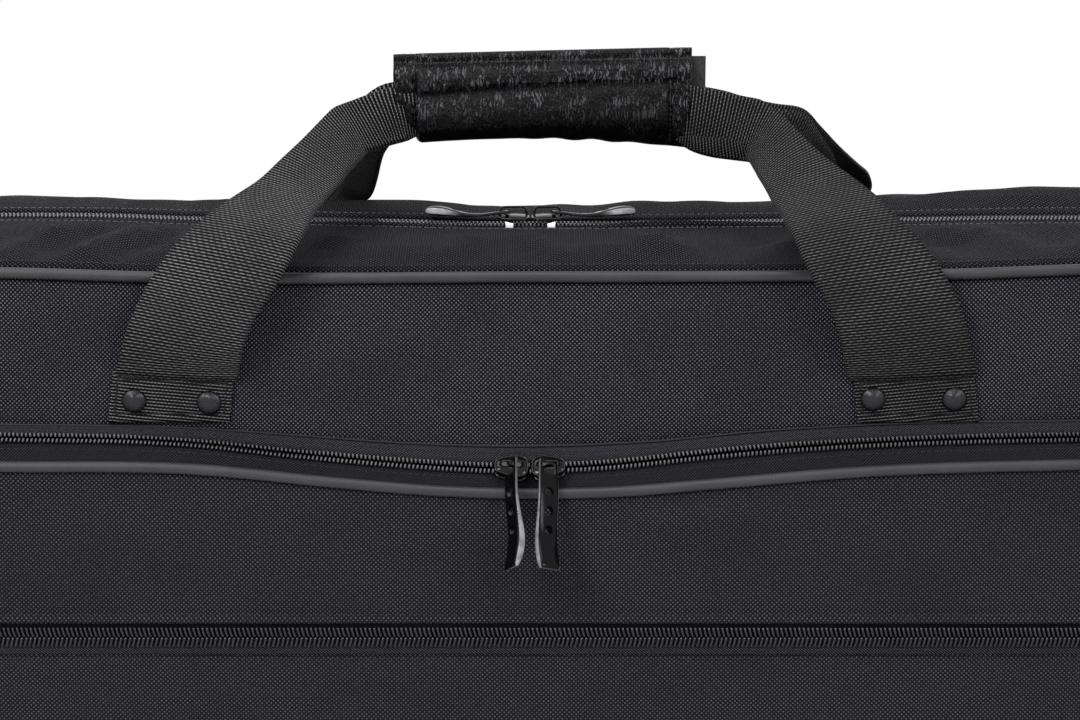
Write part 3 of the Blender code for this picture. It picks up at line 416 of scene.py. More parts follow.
def woven(name, dark, light, thread=0.0009, depth=0.0002, speck=0.012, wavy=0.004):
    """Plain-weave fabric: threads that pass over and under each other, uneven dye and a little lint."""
    f = Finish(name)
    place = f.place()
    u, v, _ = f.split(place)
    drift = f.noise(place, 0.02, 2)
    u = f.math("MULTIPLY_ADD", drift, 0.0008, u)
    v = f.math("MULTIPLY_ADD", drift, -0.0006, v)
    warp = f.wave(u, 2 * thread)
    weft = f.wave(v, 2 * thread)
    cross = f.times(warp, weft)
    over = f.ramp(cross, 0.0, 0.85)
    grain = f.noise(place, 0.0011, 3, 0.6)
    mottle = f.noise(place, 0.05, 3, 0.55)
    tone = f.times(f.ramp(grain, 0.25, 0.75, 0.45, 1.25), f.ramp(mottle, 0.3, 0.7, 0.78, 1.18))
    bright = f.times(over, tone)
    billow = f.bump(f.noise(place, 0.085, 2, 0.45), wavy)
    colour = f.mix(f.math("MINIMUM", bright, 1.0), dark, light)
    fluff = f.ramp(f.noise(place, 0.0028, 1, 0.5), 0.79, 0.86, 0.0, speck)
    colour = f.mix(fluff, colour, (0.5, 0.5, 0.52))
    height = f.plus(f.size_of(cross), f.times(over, 0.7))
    rough = f.ramp(mottle, 0.3, 0.7, 0.62, 0.78)
    return f.done(colour, rough, f.bump(height, depth, normal=billow), Specular_IOR_Level=0.08)


def twill(name, dark, light, pitch=0.0013, depth=0.00015):
    """Zip tape: a fine diagonal twill along its length."""
    f = Finish(name)
    place = f.place()
    u, v, _ = f.split(place)
    slope = f.math("MULTIPLY_ADD", v, 1.15, u)
    line = f.wave(slope, pitch)
    cross = f.wave(v, 0.0007)
    height = f.plus(line, f.times(cross, 0.35))
    grain = f.noise(place, 0.001, 3, 0.6)
    share = f.times(f.ramp(height, -0.4, 1.2), f.ramp(grain, 0.25, 0.75, 0.5, 1.25))
    colour = f.mix(f.math("MINIMUM", share, 1.0), dark, light)
    rough = f.ramp(grain, 0.2, 0.8, 0.6, 0.8)
    return f.done(colour, rough, f.bump(height, depth), Specular_IOR_Level=0.1)


# The webbing's ribs and yarns, in metres.
RIB_PITCH, YARN_PITCH = 0.00135, 0.0016


def webbing_finish(name, dark, light):
    """Ribbed webbing: ribs across the strap and threads along it."""
    f = Finish(name)
    place = f.place()
    u, v, _ = f.split(place)
    drift = f.noise(place, 0.03, 2)
    along = f.math("MULTIPLY_ADD", drift, 0.0006, u)
    rib = f.wave(along, RIB_PITCH)
    brick = f.times(f.math("ROUND", f.math("DIVIDE", along, RIB_PITCH)), 0.5 * YARN_PITCH)
    yarn = f.wave(f.plus(v, brick), YARN_PITCH)
    height = f.plus(f.times(rib, 0.85), f.times(yarn, 0.22))
    grain = f.noise(place, 0.0009, 3, 0.65)
    mottle = f.noise(place, 0.03, 3, 0.5)
    tone = f.times(f.ramp(grain, 0.25, 0.75, 0.5, 1.3), f.ramp(mottle, 0.3, 0.7, 0.8, 1.2))
    lines = f.times(f.ramp(rib, 0.05, 1.0), f.ramp(yarn, -0.9, 0.5, 0.4, 1.0))
    # Painted shade: the light threads darken from full at x = -0.11 m to 0.66 at x = 0.09 m, for the right
    # strap's shaded side.
    painted_right_shade = f.ramp(f.split(f.place(woven=False))[0], -0.11, 0.09, 1.0, 0.66)
    share = f.times(f.times(lines, tone), painted_right_shade)
    colour = f.mix(f.math("MINIMUM", share, 1.0), dark, light)
    fluff = f.ramp(f.noise(place, 0.0025, 1, 0.5), 0.78, 0.86, 0.0, 0.03)
    colour = f.mix(fluff, colour, (0.5, 0.5, 0.5))
    rough = f.ramp(grain, 0.2, 0.8, 0.5, 0.72)
    normal = f.bump(height, 0.0004, 1.0)
    return f.done(colour, rough, normal, Specular_IOR_Level=0.1)


# How much painted highlight the leather's ridges get, down from the flange's top edge: (distance in mm,
# share).
RIDGE_HIGHLIGHT = (
    (0, 0.75), (5, 0.7), (6.2, 0.12), (8.2, 0.5), (11, 1.0), (16, 0.85), (19, 0.15), (20.3, 0.15),
    (22.5, 0.85), (26, 0.75), (31, 0.3), (36, 0.06), (50, 0.04)
)


def leather_finish(name):
    """Black glossy leather: fine wrinkles across the rolls, with painted highlights on their ridges, brighter
    near the ends, and small pebbles.
    """
    f = Finish(name)
    place = f.place()
    u, v, _ = f.split(place)
    broad = f.noise(place, 0.009, 2)
    sway = f.math("MULTIPLY_ADD", f.noise(place, 0.006, 2), 0.0028, u)
    wrinkle = f.noise(f.join(sway, f.times(v, 0.19)), 0.0013, 2, 0.55)
    ridge = f.ramp(f.size_of(f.less(wrinkle, 0.5)), 0.015, 0.11)
    pebble = f.node("ShaderNodeTexVoronoi", feature="DISTANCE_TO_EDGE")
    f.put(pebble.inputs["Vector"], f.join(sway, f.times(v, 0.6)))
    pebble.inputs["Scale"].default_value = 1 / 0.0009
    cells = f.ramp(pebble.outputs["Distance"], 0.0, 0.25)
    deep = f.times(ridge, f.ramp(broad, 0.3, 0.6, 0.35, 1.0))
    height = f.math("MULTIPLY_ADD", cells, 0.25, deep)
    normal = f.bump(height, 0.0004, 1.0)
    down = f.node("ShaderNodeValToRGB")
    stops = down.color_ramp.elements
    length = RIDGE_HIGHLIGHT[-1][0]
    for k, (at, share) in enumerate(RIDGE_HIGHLIGHT):
        stop = stops[k] if k < 2 else stops.new(at / length)
        stop.position = at / length
        stop.color = (share, share, share, 1)
    f.put(down.inputs[0], f.times(v, 1 / (length * MM)))
    # Painted highlight: the ridges are coloured lighter down the rolls by the table above, and more so near
    # the wrap's ends.
    ends = f.ramp(f.size_of(f.less(u, 0.0629)), 0.0535, 0.0545, 1.0, 1.9)
    glint = f.times(
        f.times(down.outputs[0], ends),
        f.ramp(f.times(f.math("MULTIPLY_ADD", cells, 0.45, 0.55), deep), 0.3, 0.9)
    )
    glint = f.math("MINIMUM", f.times(glint, f.ramp(broad, 0.3, 0.65, 0.5, 1.0)), 1.0)
    colour = f.mix(glint, (0.0012, 0.0012, 0.0017), (0.115, 0.115, 0.13))
    rough = f.ramp(broad, 0.3, 0.7, 0.17, 0.27)
    return f.done(colour, rough, normal, Specular_IOR_Level=0.14)


def vinyl_finish(name, colour, rough_low=0.36, rough_high=0.5):
    """Soft satin vinyl with a fine skin grain and faint rubbing."""
    f = Finish(name)
    place = f.place(woven=False)
    skin = f.noise(place, 0.0009, 4, 0.6)
    rub = f.noise(place, 0.03, 3, 0.6)
    tint = f.mix(f.ramp(rub, 0.35, 0.7), colour, tuple(c * 1.35 for c in colour))
    normal = f.bump(skin, 0.00006, 1.0)
    return f.done(tint, f.ramp(rub, 0.3, 0.7, rough_low, rough_high), normal, Specular_IOR_Level=0.25)


def metal_finish(
    name, colour, metallic, rough_low, rough_high, coat=0.0, grain=0.0006, depth=0.00002, gloss=0.5
):
    """Painted or plated metal with fine unevenness and handling marks."""
    f = Finish(name)
    place = f.place(woven=False)
    fine = f.noise(place, grain, 3, 0.6)
    patchy_noise = f.noise(place, 0.006, 3, 0.6)
    tint = f.mix(f.ramp(patchy_noise, 0.45, 0.75), colour, tuple(c * 1.5 + 0.004 for c in colour))
    rough = f.ramp(patchy_noise, 0.3, 0.75, rough_low, rough_high)
    return f.done(
        tint, rough, f.bump(fine, depth), Metallic=metallic, Coat_Weight=coat, Coat_Roughness=0.08,
        Specular_IOR_Level=gloss
    )


def pull_finish(name, thin, full, least, bright):
    """Black paint over metal, with a painted highlight along the pull's sides and most at its thick end."""
    f = Finish(name)
    u, v, _ = f.split(f.place())
    solid = f.place(woven=False)
    patchy_noise = f.noise(solid, 0.004, 3, 0.6)
    # Painted highlight: a light colour along the pull's sides, from least near the loop to full towards the
    # thick end, made patchy by noise.
    sides = f.times(f.ramp(v, 0.0082, 0.0096), f.ramp(u, thin, full, least, 1.0))
    share = f.times(sides, f.ramp(patchy_noise, 0.3, 0.62, 0.55, 1.0))
    colour = f.mix(share, (0.0022, 0.0022, 0.003), (bright, bright, bright * 1.05))
    rough = f.ramp(patchy_noise, 0.3, 0.75, 0.1, 0.18)
    return f.done(colour, rough, f.bump(f.noise(solid, 0.0006, 3, 0.6), 0.00002), Specular_IOR_Level=0.12)


def rivet_finish(name, half_gap, middle, height):
    """Dark metal turned on a lathe: fine rings round each rivet's middle."""
    f = Finish(name)
    x, _, z = f.split(f.place(woven=False))
    across = f.less(f.size_of(f.less(f.size_of(x), middle)), half_gap)
    up = f.less(z, height)
    out = f.math("SQRT", f.plus(f.times(across, across), f.times(up, up)))
    ring = f.wave(out, 0.00042)
    grain = f.noise(f.place(woven=False), 0.0005, 3, 0.6)
    height_of = f.plus(f.times(ring, 0.5), grain)
    tint = f.mix(grain, (0.01, 0.01, 0.012), (0.065, 0.065, 0.073))
    rough = f.ramp(grain, 0.2, 0.8, 0.22, 0.3)
    return f.done(tint, rough, f.bump(height_of, 0.00004), Metallic=0.95, Specular_IOR_Level=0.5)


def pile_finish(name, colour, size, strength):
    """Hook or loop tape: a dense short pile."""
    f = Finish(name)
    place = f.place(woven=False)
    pile = f.noise(place, size, 4, 0.75)
    spots = f.node("ShaderNodeTexVoronoi")
    f.put(spots.inputs["Vector"], place)
    spots.inputs["Scale"].default_value = 1 / (size * 1.6)
    height = f.plus(pile, f.times(spots.outputs["Distance"], 0.6))
    tint = f.mix(f.ramp(height, 0.4, 1.1), colour, tuple(c * 3 + 0.01 for c in colour))
    rough = f.ramp(pile, 0.2, 0.8, 0.75, 0.95)
    return f.done(tint, rough, f.bump(height, strength), Sheen_Weight=0.3)


POCKET_WEAVE = woven("pocket_weave", (0.0075, 0.0073, 0.010), (0.102, 0.1, 0.121), thread=0.00096, wavy=0.006)
FABRIC = woven("outer_weave", (0.0045, 0.0044, 0.0062), (0.178, 0.175, 0.21))
GUSSET = woven(
    "gusset_weave", (0.001, 0.001, 0.0019), (0.092, 0.0905, 0.111), thread=0.00105, depth=0.00045, wavy=0.02
)
LINING = woven("lining_weave", (0.02, 0.02, 0.023), (0.075, 0.075, 0.082), thread=0.0005, depth=0.0001)
TAPE = twill("tape_twill", (0.002, 0.002, 0.0035), (0.085, 0.084, 0.102))
SHADED_TAPE = twill("lower_twill", (0.0015, 0.0015, 0.0022), (0.04, 0.04, 0.048))
# Painted shadow: near-black twill for the flat zip's upper tape, where the hem above shades it.
HEM_SHADOW_TAPE = twill("shaded_twill", (0.0012, 0.0012, 0.0018), (0.012, 0.012, 0.015))
WEBBING = webbing_finish("webbing_rib", (0.0007, 0.0007, 0.0009), (0.24, 0.236, 0.244))
LEATHER = leather_finish("grip_leather")
VINYL = vinyl_finish("piping_vinyl", (0.036, 0.036, 0.039))
MAIN_COIL = metal_finish("main_zip_nylon", (0.035, 0.035, 0.042), 0.0, 0.12, 0.2, coat=0.3)
COIL = metal_finish("zip_nylon", (0.006, 0.006, 0.0085), 0.0, 0.2, 0.3, coat=0.06)
BLACK_METAL = metal_finish("black_metal", (0.002, 0.002, 0.0028), 0.0, 0.07, 0.13, coat=0.08, gloss=0.22)
BRIGHT_METAL = metal_finish("bright_metal", (0.7, 0.7, 0.74), 1.0, 0.15, 0.25)
# Painted highlights: along the hanging pulls' sides, and only at the lying pulls' thick ends.
PULL_PAINT = pull_finish("pull_paint", 0.004, 0.026, 0.3, 0.33)
LYING_PAINT = pull_finish("lying_paint", 0.019, 0.027, 0.05, 0.5)
GUNMETAL = rivet_finish("gunmetal", 0.016, 0.150, 0.3553)
HOOK = pile_finish("hook_pile", (0.005, 0.005, 0.006), 0.0011, 0.0008)
LOOP = pile_finish("loop_pile", (0.006, 0.006, 0.007), 0.0007, 0.0005)
THREAD = vinyl_finish("sewing_thread", (0.012, 0.012, 0.014), 0.5, 0.7)
SEWING = vinyl_finish("waxed_thread", (0.03, 0.03, 0.034), 0.3, 0.45)
DARK_THREAD = vinyl_finish("dark_thread", (0.0035, 0.0035, 0.0045), 0.5, 0.7)
PALE_THREAD = vinyl_finish("pale_thread", (0.085, 0.085, 0.095), 0.5, 0.7)

# The bag's lines

HALF_LENGTH, TOP, CORNER = 505.0, 407.0, 45.0
CROWN = 7.0
EDGE_Y = 75.2
PIPING_Y, PIPING_R = 77.75, 2.25

# What the top does along its length in the photo: how far each line stands off the CAD's.
FRONT_RISE = rows(
    (-430, 0), (-300, 1.6), (-222, 1.8), (-141, -0.4), (-17, 0), (80, 0.3), (160, 1.0), (222, 3.2),
    (300, 3.0), (430, 0)
)
ZIP_RISE = rows(
    (-470, -3.9), (-420, -3.7), (-360, -2.4), (-290, -1.0), (-240, -0.4), (-189, -0.6), (-146, -2.1),
    (-99, -2.3), (-60, -3.2), (-26, -4.1), (5, -4.1), (60, -3.6), (100, -3.1), (154, -2.4), (197, -1.7),
    (240, -1.6), (290, -2.0), (360, -3.0), (420, -3.7), (470, -3.9)
)
CREST_RISE = rows(
    (-430, 0), (-300, 1.2), (-222, 0.8), (-190, 0.7), (-171, 1.0), (-149, 1.6), (-120, 0.4), (-92, -1.0),
    (-75, -0.8), (-48, -0.2),
    (-26, -3.1), (-14, -3.0), (4, -2.1), (18, -3.4), (40, -2.0), (60, -0.7), (88, -0.6), (101, 0.1),
    (149, 1.4), (202, 4.5), (240, 5.4), (300, 4), (430, 0),
)
REAR_RISE = rows(
    (-430, 0), (-300, -3), (-222, -4.5), (-171, -5.6), (-149, -5.2), (-92, -7.2), (-61, -6), (-48, -5.8),
    (-26, -8.6), (-14, -9), (4, -8.2), (18, -9), (60, -6.5), (101, -6), (149, -5), (202, -2.6), (240, -1.2),
    (300, -0.4), (430, 0),
)
# How far the front lip stands over the zip.
LIP_RISE = rows(
    (-430, 0.3), (-190, 0.2), (-100, 0.7), (-40, 0.5), (-25, -0.9), (12, -0.9), (28, 1.2), (100, 1.3),
    (140, 0.8), (160, 0.4), (222, 0.3), (430, 0.3)
)


def settled(points):
    """Points of the plain rounded box, moved to where the soft top lies."""
    p = np.array(points, float)
    x, y, z = p[..., 0], p[..., 1], p[..., 2]
    front, chain, crest, rear = (table(x, rise) for rise in (FRONT_RISE, ZIP_RISE, CREST_RISE, REAR_RISE))
    lift = front + (chain - front) * smoothstep(-72, -6, y)
    lift = lift + (crest - lift) * smoothstep(4, 32, y)
    lift = lift + (rear - lift) * smoothstep(30, 78, y)
    reach = np.where(y > 20, 230.0, 330.0)
    hold = smoothstep(reach, 398, z)
    hold = hold * (1 - 0.999 * smoothstep(455, 500, np.abs(x)))
    p[..., 2] = z + lift * hold
    return p


def arc(centre, r, start, count, sweep=-pi / 2, last=False):
    """Points of a quarter circle, with its last one or not, and their outward directions."""
    turns = [start + sweep * k / count for k in range(count + last)]
    outs = [(cos(turn), sin(turn)) for turn in turns]
    return [(centre[0] + r * x, centre[1] + r * z) for x, z in outs], outs


def ring(step=4.0, over_top=False):
    """The rounded rectangle of the bag's outline: points (x, z), outward directions (x, z)."""
    half, top, low, r = HALF_LENGTH, TOP, 0.0, CORNER
    points, outs = [], []

    def straight(a, b, out):
        count = max(int(round(np.hypot(b[0] - a[0], b[1] - a[1]) / step)), 2)
        for k in range(count):
            t = k / count
            points.append((a[0] + (b[0] - a[0]) * t, a[1] + (b[1] - a[1]) * t))
            outs.append(out)

    def corner(centre, start):
        count = max(int(round(r * pi / 2 / (step * 0.8))), 8)
        for whole, made in zip((points, outs), arc(centre, r, start, count)):
            whole.extend(made)

    corner((-half + r, low + r), 1.5 * pi)
    straight((-half, low + r), (-half, top - r), (-1, 0))
    corner((-half + r, top - r), pi)
    straight((-half + r, top), (half - r, top), (0, 1))
    corner((half - r, top - r), pi / 2)
    straight((half, top - r), (half, low + r), (1, 0))
    corner((half - r, low + r), 0)
    if over_top:
        points.append((half - r, low))
        outs.append((0, -1))
    else:
        straight((half - r, low), (-half + r, low), (0, -1))
    return np.array(points), np.array(outs)


def outset(xz, out, d, y):
    """Points beside the outline, moved outward by d, at y."""
    return xyz(xz[..., 0] + out[..., 0] * d, y, xz[..., 1] + out[..., 1] * d)


def ring_line(side_y, offset, step=4.0, over_top=False):
    """A line round the bag at one y, offset outward from the outline by a number or a function of z."""
    xz, out = ring(step, over_top=over_top)
    d = offset(xz[:, 1]) if callable(offset) else offset
    return outset(xz, out, d, side_y), xyz(out[:, 0], 0, out[:, 1])


def crown_at(y, z):
    """How far the gusset swells past the outline."""
    return CROWN * (1 - (np.abs(y) / EDGE_Y) ** 2) * np.clip(z / TOP, 0, 1)


# Stage, camera, light

# The world's light on the object, where the rays that show the backdrop get 1.
WORLD_LIGHT = 0.24
FLOOR_HALF, FLOOR_Z = 12000, -0.4
# Where the camera is, in millimetres, and how far it looks down.
EYE = np.array((-1.4, -1132.0, 660.3))
PITCH = radians(15.39)
LENS, SENSOR = 90, 36
FRAME_WIDE, FRAME_HIGH = 1080, 720


def floor_finish():
    """A pale floor that keeps the shadow near the bag and is plain white far behind it."""
    f = Finish("floor_pale")
    place = f.place(woven=False)
    paint = f.mix(f.noise(place, 0.5, 2), (0.80, 0.80, 0.80), (0.84, 0.84, 0.84))
    f.done(paint, 0.8)
    length = f.node("ShaderNodeVectorMath", operation="LENGTH")
    f.put(length.inputs[0], place)
    far = f.ramp(length.outputs["Value"], 0.9, 1.9)
    glow = f.node("ShaderNodeEmission")
    glow.inputs["Color"].default_value = (1, 1, 1, 1)
    glow.inputs["Strength"].default_value = 1
    both = f.node("ShaderNodeMixShader")
    f.put(both.inputs[0], f.times(far, f.backdrop_rays()))
    f.put(both.inputs[1], f.shader.outputs["BSDF"])
    f.put(both.inputs[2], glow.outputs["Emission"])
    f.put(f.surface, both.outputs[0])
    return f.material


def add_floor():
    corners = [(x * FLOOR_HALF, y * FLOOR_HALF, FLOOR_Z) for x, y in ((-1, -1), (1, -1), (1, 1), (-1, 1))]
    floor = new_object("floor", corners, [[0, 1, 2, 3]], floor_finish(), outward=False)


def add_lamp(name, at, aim, size, power, colour=(1, 1, 1)):
    data = bpy.data.lights.new(name, "AREA")
    data.shape = "RECTANGLE"
    data.size, data.size_y = size
    data.energy = power
    data.color = colour
    lamp = bpy.data.objects.new(name, data)
    lamp.location = at
    lamp.rotation_euler = (Vector(aim) - Vector(at)).to_track_quat("-Z", "Y").to_euler()
    bpy.context.scene.collection.objects.link(lamp)


def add_world():
    world = bpy.data.worlds.new("studio")
    f = Nodes(world, "ShaderNodeOutputWorld")
    back = f.node("ShaderNodeBackground")
    back.inputs["Color"].default_value = (1, 1, 1, 1)
    f.put(back.inputs["Strength"], f.ramp(f.backdrop_rays(), 0, 1, WORLD_LIGHT, 1.0, smooth=False))
    f.put(f.surface, back.outputs[0])
    bpy.context.scene.world = world


def add_camera():
    data = bpy.data.cameras.new("camera")
    data.lens = LENS
    data.sensor_width = SENSOR
    camera = bpy.data.objects.new("camera", data)
    camera.location = EYE * MM
    camera.rotation_euler = (pi / 2 - PITCH, 0, 0)
    bpy.context.scene.collection.objects.link(camera)
    bpy.context.scene.camera = camera


add_camera()
add_world()
add_floor()
add_lamp("overhead", (-0.2, -0.3, 2.3), (0, 0, 0.3), (1.6, 1.0), 20)
add_lamp("front_left", (-1.3, -1.7, 2.0), (0, 0, 0.3), (0.9, 0.9), 42)
add_lamp("front_right", (1.6, -1.6, 1.7), (0, 0, 0.3), (0.9, 0.9), 22)
bpy.context.scene.view_settings.view_transform = "Standard"

# Panels


def half_width(z, half, low, top, corner):
    """Half the width of a rounded rectangle at a height."""
    z = np.asarray(z, float)
    over = np.clip(np.maximum(z - (top - corner), (low + corner) - z), 0, corner)
    return half - corner + np.sqrt(np.maximum(corner**2 - over**2, 0))


def spaced(low, high, step, fine=(), fine_step=1.0):
    """Numbers from low to high, closer together near the fine places."""
    marks = [low]
    while marks[-1] < high:
        near = any(a - step < marks[-1] < b for a, b in fine)
        marks.append(marks[-1] + (fine_step if near else step))
    marks[-1] = high
    return np.array(marks)


# The outer fabric's edges behind the piping, and the lining's.
PANEL_HALF, PANEL_LOW, PANEL_TOP, PANEL_CORNER = 500.2, 4.8, 402.4, 40
PANEL_Y, PANEL_BACK_Y, PANEL_EDGE = 79.0, 69.4, 14
LINING_HALF, LINING_LOW, LINING_TOP, LINING_CORNER = 498.2, 7.2, 400.6, 38
LINING_Y = 68.85
# The middle of the straps' sewn ends, from the bag's middle.
PATCH_X = 150


def body_panel(name, side, body, material, replaces):
    """A padded wall between the piping and the lining, closed, with its edge tucked behind the piping."""
    zs = spaced(PANEL_LOW, PANEL_TOP, 5, fine=((PANEL_LOW, 16), (388, PANEL_TOP)), fine_step=1.6)
    xs = spaced(-1, 1, 0.012, fine=((-1, -0.975), (0.975, 1)), fine_step=0.0035)
    width = half_width(zs, PANEL_HALF, PANEL_LOW, PANEL_TOP, PANEL_CORNER)
    x = xs[None, :] * width[:, None]
    z = np.repeat(zs[:, None], len(xs), 1)
    edge = np.minimum(np.minimum(PANEL_TOP - z, z - PANEL_LOW), width[:, None] - np.abs(x))
    edge = np.clip(edge, 0, PANEL_EDGE)
    tuck = 3.4 * (1 - rounded(edge, PANEL_EDGE))
    puff = 0.9 * ripple(x, z, 11 if side < 0 else 12, 150) * smoothstep(0, 30, edge * 3)
    if side > 0:
        puff = puff + 2.2 * smoothstep(0, PANEL_EDGE, edge) * np.cos(x / 420) * np.sin(pi * z / TOP)
        puff = puff * (1 - 0.9 * smoothstep(30, 15, np.abs(np.abs(x) - PATCH_X)) * smoothstep(330, 346, z))
    else:
        hollow = -1.5 * (0.5 + 0.5 * ripple(x + 0.5 * z, z, 13, 120))
        hollow = hollow * smoothstep(344, 356, z) * smoothstep(0, 12, edge)
        free = smoothstep(27, 42, np.abs(np.abs(x) - PATCH_X))
        puff = np.minimum(puff, 0.15) * smoothstep(0, 20, np.abs(z - 356) - 6) + np.minimum(hollow, 0) * free
    depth = PANEL_Y - tuck + puff
    outer = settled(xyz(x, side * depth, z))
    inner = settled(xyz(x * 0.997, side * PANEL_BACK_Y, z * 0.996 + 1))
    obj = shell(name, outer, inner, material, np.stack([x, z], -1))
    return finish_piece(obj, body, replaces)


def lining(name, side, body, replaces):
    """Thin quilted lining inside a wall."""
    zs = np.linspace(LINING_LOW, LINING_TOP, 100)
    xs = np.linspace(-1, 1, 160)
    width = half_width(zs, LINING_HALF, LINING_LOW, LINING_TOP, LINING_CORNER)
    x = xs[None, :] * width[:, None]
    z = np.repeat(zs[:, None], len(xs), 1)
    quilt = 0.42 * np.abs(np.sin(pi * (x + z) / 120) * np.sin(pi * (x - z) / 120)) ** 0.5
    outer = settled(xyz(x, side * LINING_Y, z))
    inner = outer.copy()
    inner[..., 1] = side * (68.3 - quilt * 1.2)
    obj = shell(name, outer, inner, LINING, np.stack([x, z], -1))
    finish_piece(obj, body, replaces)
    name.split("_")[0] + "_panel"
    return obj


body_panel("front_panel", -1, "cover", FABRIC, ("front_panel_fabric", "front_panel_foam"))
body_panel("back_panel", 1, "tray", FABRIC, ("back_panel_fabric", "back_panel_foam"))
lining("front_lining", -1, "cover", ("front_panel_lining",))
lining("back_lining", 1, "tray", ("back_panel_lining",))

# Gussets, piping, main zip

# The gusset's section: (distance from the middle, height against the crowned outline).
GUSSET_OUTER = rows(
    (75.4, -6), (75.4, -3.2), (75.0, -1.2), (73.8, -0.2), (71.5, 0.3), (67, 0.35), (60, 0.3), (50, 0.2),
    (40, 0.1), (30, 0.1), (22, 0.15), (16, 0.2), (13.2, 0.15), (12.1, -0.15), (11.2, 0.1), (9.6, 0.15),
    (8.2, -0.1), (7.5, -0.7), (7.3, -1.3), (7.8, -1.9),
)
GUSSET_INNER = rows((17, -2.3), (18, -4.4), (22, -6), (40, -6.2), (60, -6.2), (72, -6.2))


# Soft folds in the front gusset: from (x, y) to (x, y), how wide and how high.
FOLDS = (
    (-222, -66, -198, -16, 6, 2.2), (-208, -70, -184, -20, 5, -1.8), (-194, -70, -166, -20, 6, 2.6),
    (-178, -70, -152, -24, 5, -2.2), (-163, -68, -140, -24, 6, 1.6),
    (-112, -64, -96, -24, 8, -1.6), (-92, -30, -62, -64, 9, 2.2), (-60, -20, -98, -66, 8, -1.2),
    (-44, -66, -24, -26, 8, 1.8), (-14, -30, -2, -68, 6, -1.4),
    (10, -68, -4, -28, 6, 1.8), (32, -18, 58, -62, 9, 1.8), (95, -26, 72, -66, 9, -2.0),
    (118, -20, 94, -64, 7, 1.6),
    (160, -24, 176, -66, 8, -2.2), (180, -22, 206, -64, 8, 2.8), (222, -26, 196, -68, 8, -1.6),
    (236, -20, 220, -66, 8, 1.8),
)


# The same in the pocket's front wall, by (x, z).
POCKET_FOLDS = (
    (12, 318, 48, 282, 9, -1.5), (36, 322, 84, 284, 11, 1.3), (-30, 318, -64, 286, 10, 1.2),
    (-60, 316, -104, 292, 11, -1.2), (-200, 306, -140, 282, 16, 1.4),
    (150, 308, 226, 286, 17, -1.2), (120, 232, 200, 206, 18, 1.2), (-150, 236, -90, 204, 16, -1.2),
    (-40, 238, 10, 214, 18, 1.0),
)


def fold_height(x, y, folds):
    """How far the folds stand out at some places."""
    total = 0
    for ax, ay, bx, by, wide, high in folds:
        length = np.hypot(bx - ax, by - ay)
        ux, uy = (bx - ax) / length, (by - ay) / length
        along = ((x - ax) * ux + (y - ay) * uy) / length
        off = (x - ax) * uy - (y - ay) * ux
        bump = high * np.exp(-((off / wide) ** 2))
        total = total + bump * smoothstep(-0.25, 0.3, along) * smoothstep(1.25, 0.7, along)
    return total


def gusset(name, side, body, replaces):
    """The padded band round one half, folded back along the zip and seamed to the piping."""
    xz, out = ring(3.6, over_top=True)
    section = np.concatenate([GUSSET_OUTER, GUSSET_INNER])
    y, h = section[:, 0], section[:, 1]
    loops = []
    run = run_of(xz)
    outer = np.arange(len(section)) < len(GUSSET_OUTER)
    for k in range(len(xz)):
        free = np.sin(pi * np.clip((y - 13) / 60, 0, 1)) ** 0.8 * smoothstep(4, 60, xz[k, 1])
        wave = 1.15 * ripple(run[k] + y, y * 1.6, 21 + (side > 0), 90)
        wave = wave + 0.55 * ripple(run[k] - 0.8 * y, y, 31 + (side > 0), 38)
        crease = 1.2 * np.exp(-((xz[k, 0] - 3) / 2.4) ** 2) * smoothstep(300, 400, xz[k, 1]) * (side < 0)
        if side < 0 and xz[k, 1] > 350:
            wave = wave + fold_height(xz[k, 0], -y, FOLDS)
        lip = float(table(xz[k, 0], LIP_RISE)) * float(smoothstep(340, 398, xz[k, 1]))
        lip = lip * smoothstep(12, 10.5, y) * (side < 0)
        d = h + crown_at(y, xz[k, 1]) + np.where(outer, (wave - crease) * free + lip, 0)
        loops.append(outset(xz[k], out[k], d, side * y))
    obj = swept_solid(name, settled(np.array(loops)), GUSSET)
    return finish_piece(obj, body, replaces)


gusset("front_gusset_band", -1, "cover", ("front_gusset",))
gusset("back_gusset_band", 1, "tray", ("back_gusset",))


def piping(name, side, body, replaces):
    """The vinyl cord in the seam round one wall."""
    line = settled(ring_line(side * PIPING_Y, -PIPING_R)[0])
    run = run_of(line)
    radius = PIPING_R * (1 + 0.02 * ripple(run, run * 0, 41, 60))
    obj = tube(name, line, radius, VINYL, sides=14, closed=True)
    return finish_piece(obj, body, replaces)


piping("front_piping_cord", -1, "cover", ("front_piping",))
piping("back_piping_cord", 1, "tray", ("back_piping",))


def zip_depth(y, low):
    """Offset of the zip's parts from the crowned outline."""
    return lambda z: crown_at(y, z) + low


def main_tape(name, side, body, replaces):
    """The twill tape under one edge of the main zip."""
    loops = []
    section = rows(
        (0, -2.6), (0, -2.0), (3.6, -2.0), (3.9, -1.1), (6, -1.05), (9, -1.15), (14, -1.3), (16, -1.5),
        (16, -2.1), (9, -2.6)
    )
    xz, out = ring(3.6, over_top=True)
    for k in range(len(xz)):
        d = section[:, 1] + crown_at(section[:, 0], xz[k, 1])
        loops.append(outset(xz[k], out[k], d, side * section[:, 0]))
    loops = settled(np.array(loops))
    uv = pairs(run_of(loops[:, 1], closed=True), run_of(section, closed=True))
    obj = swept_solid(name, loops, TAPE, uv=uv)
    return finish_piece(obj, body, replaces)


main_tape("front_tape_strip", -1, "cover", ("front_zip_tape",))
main_tape("back_tape_strip", 1, "tray", ("back_zip_tape",))


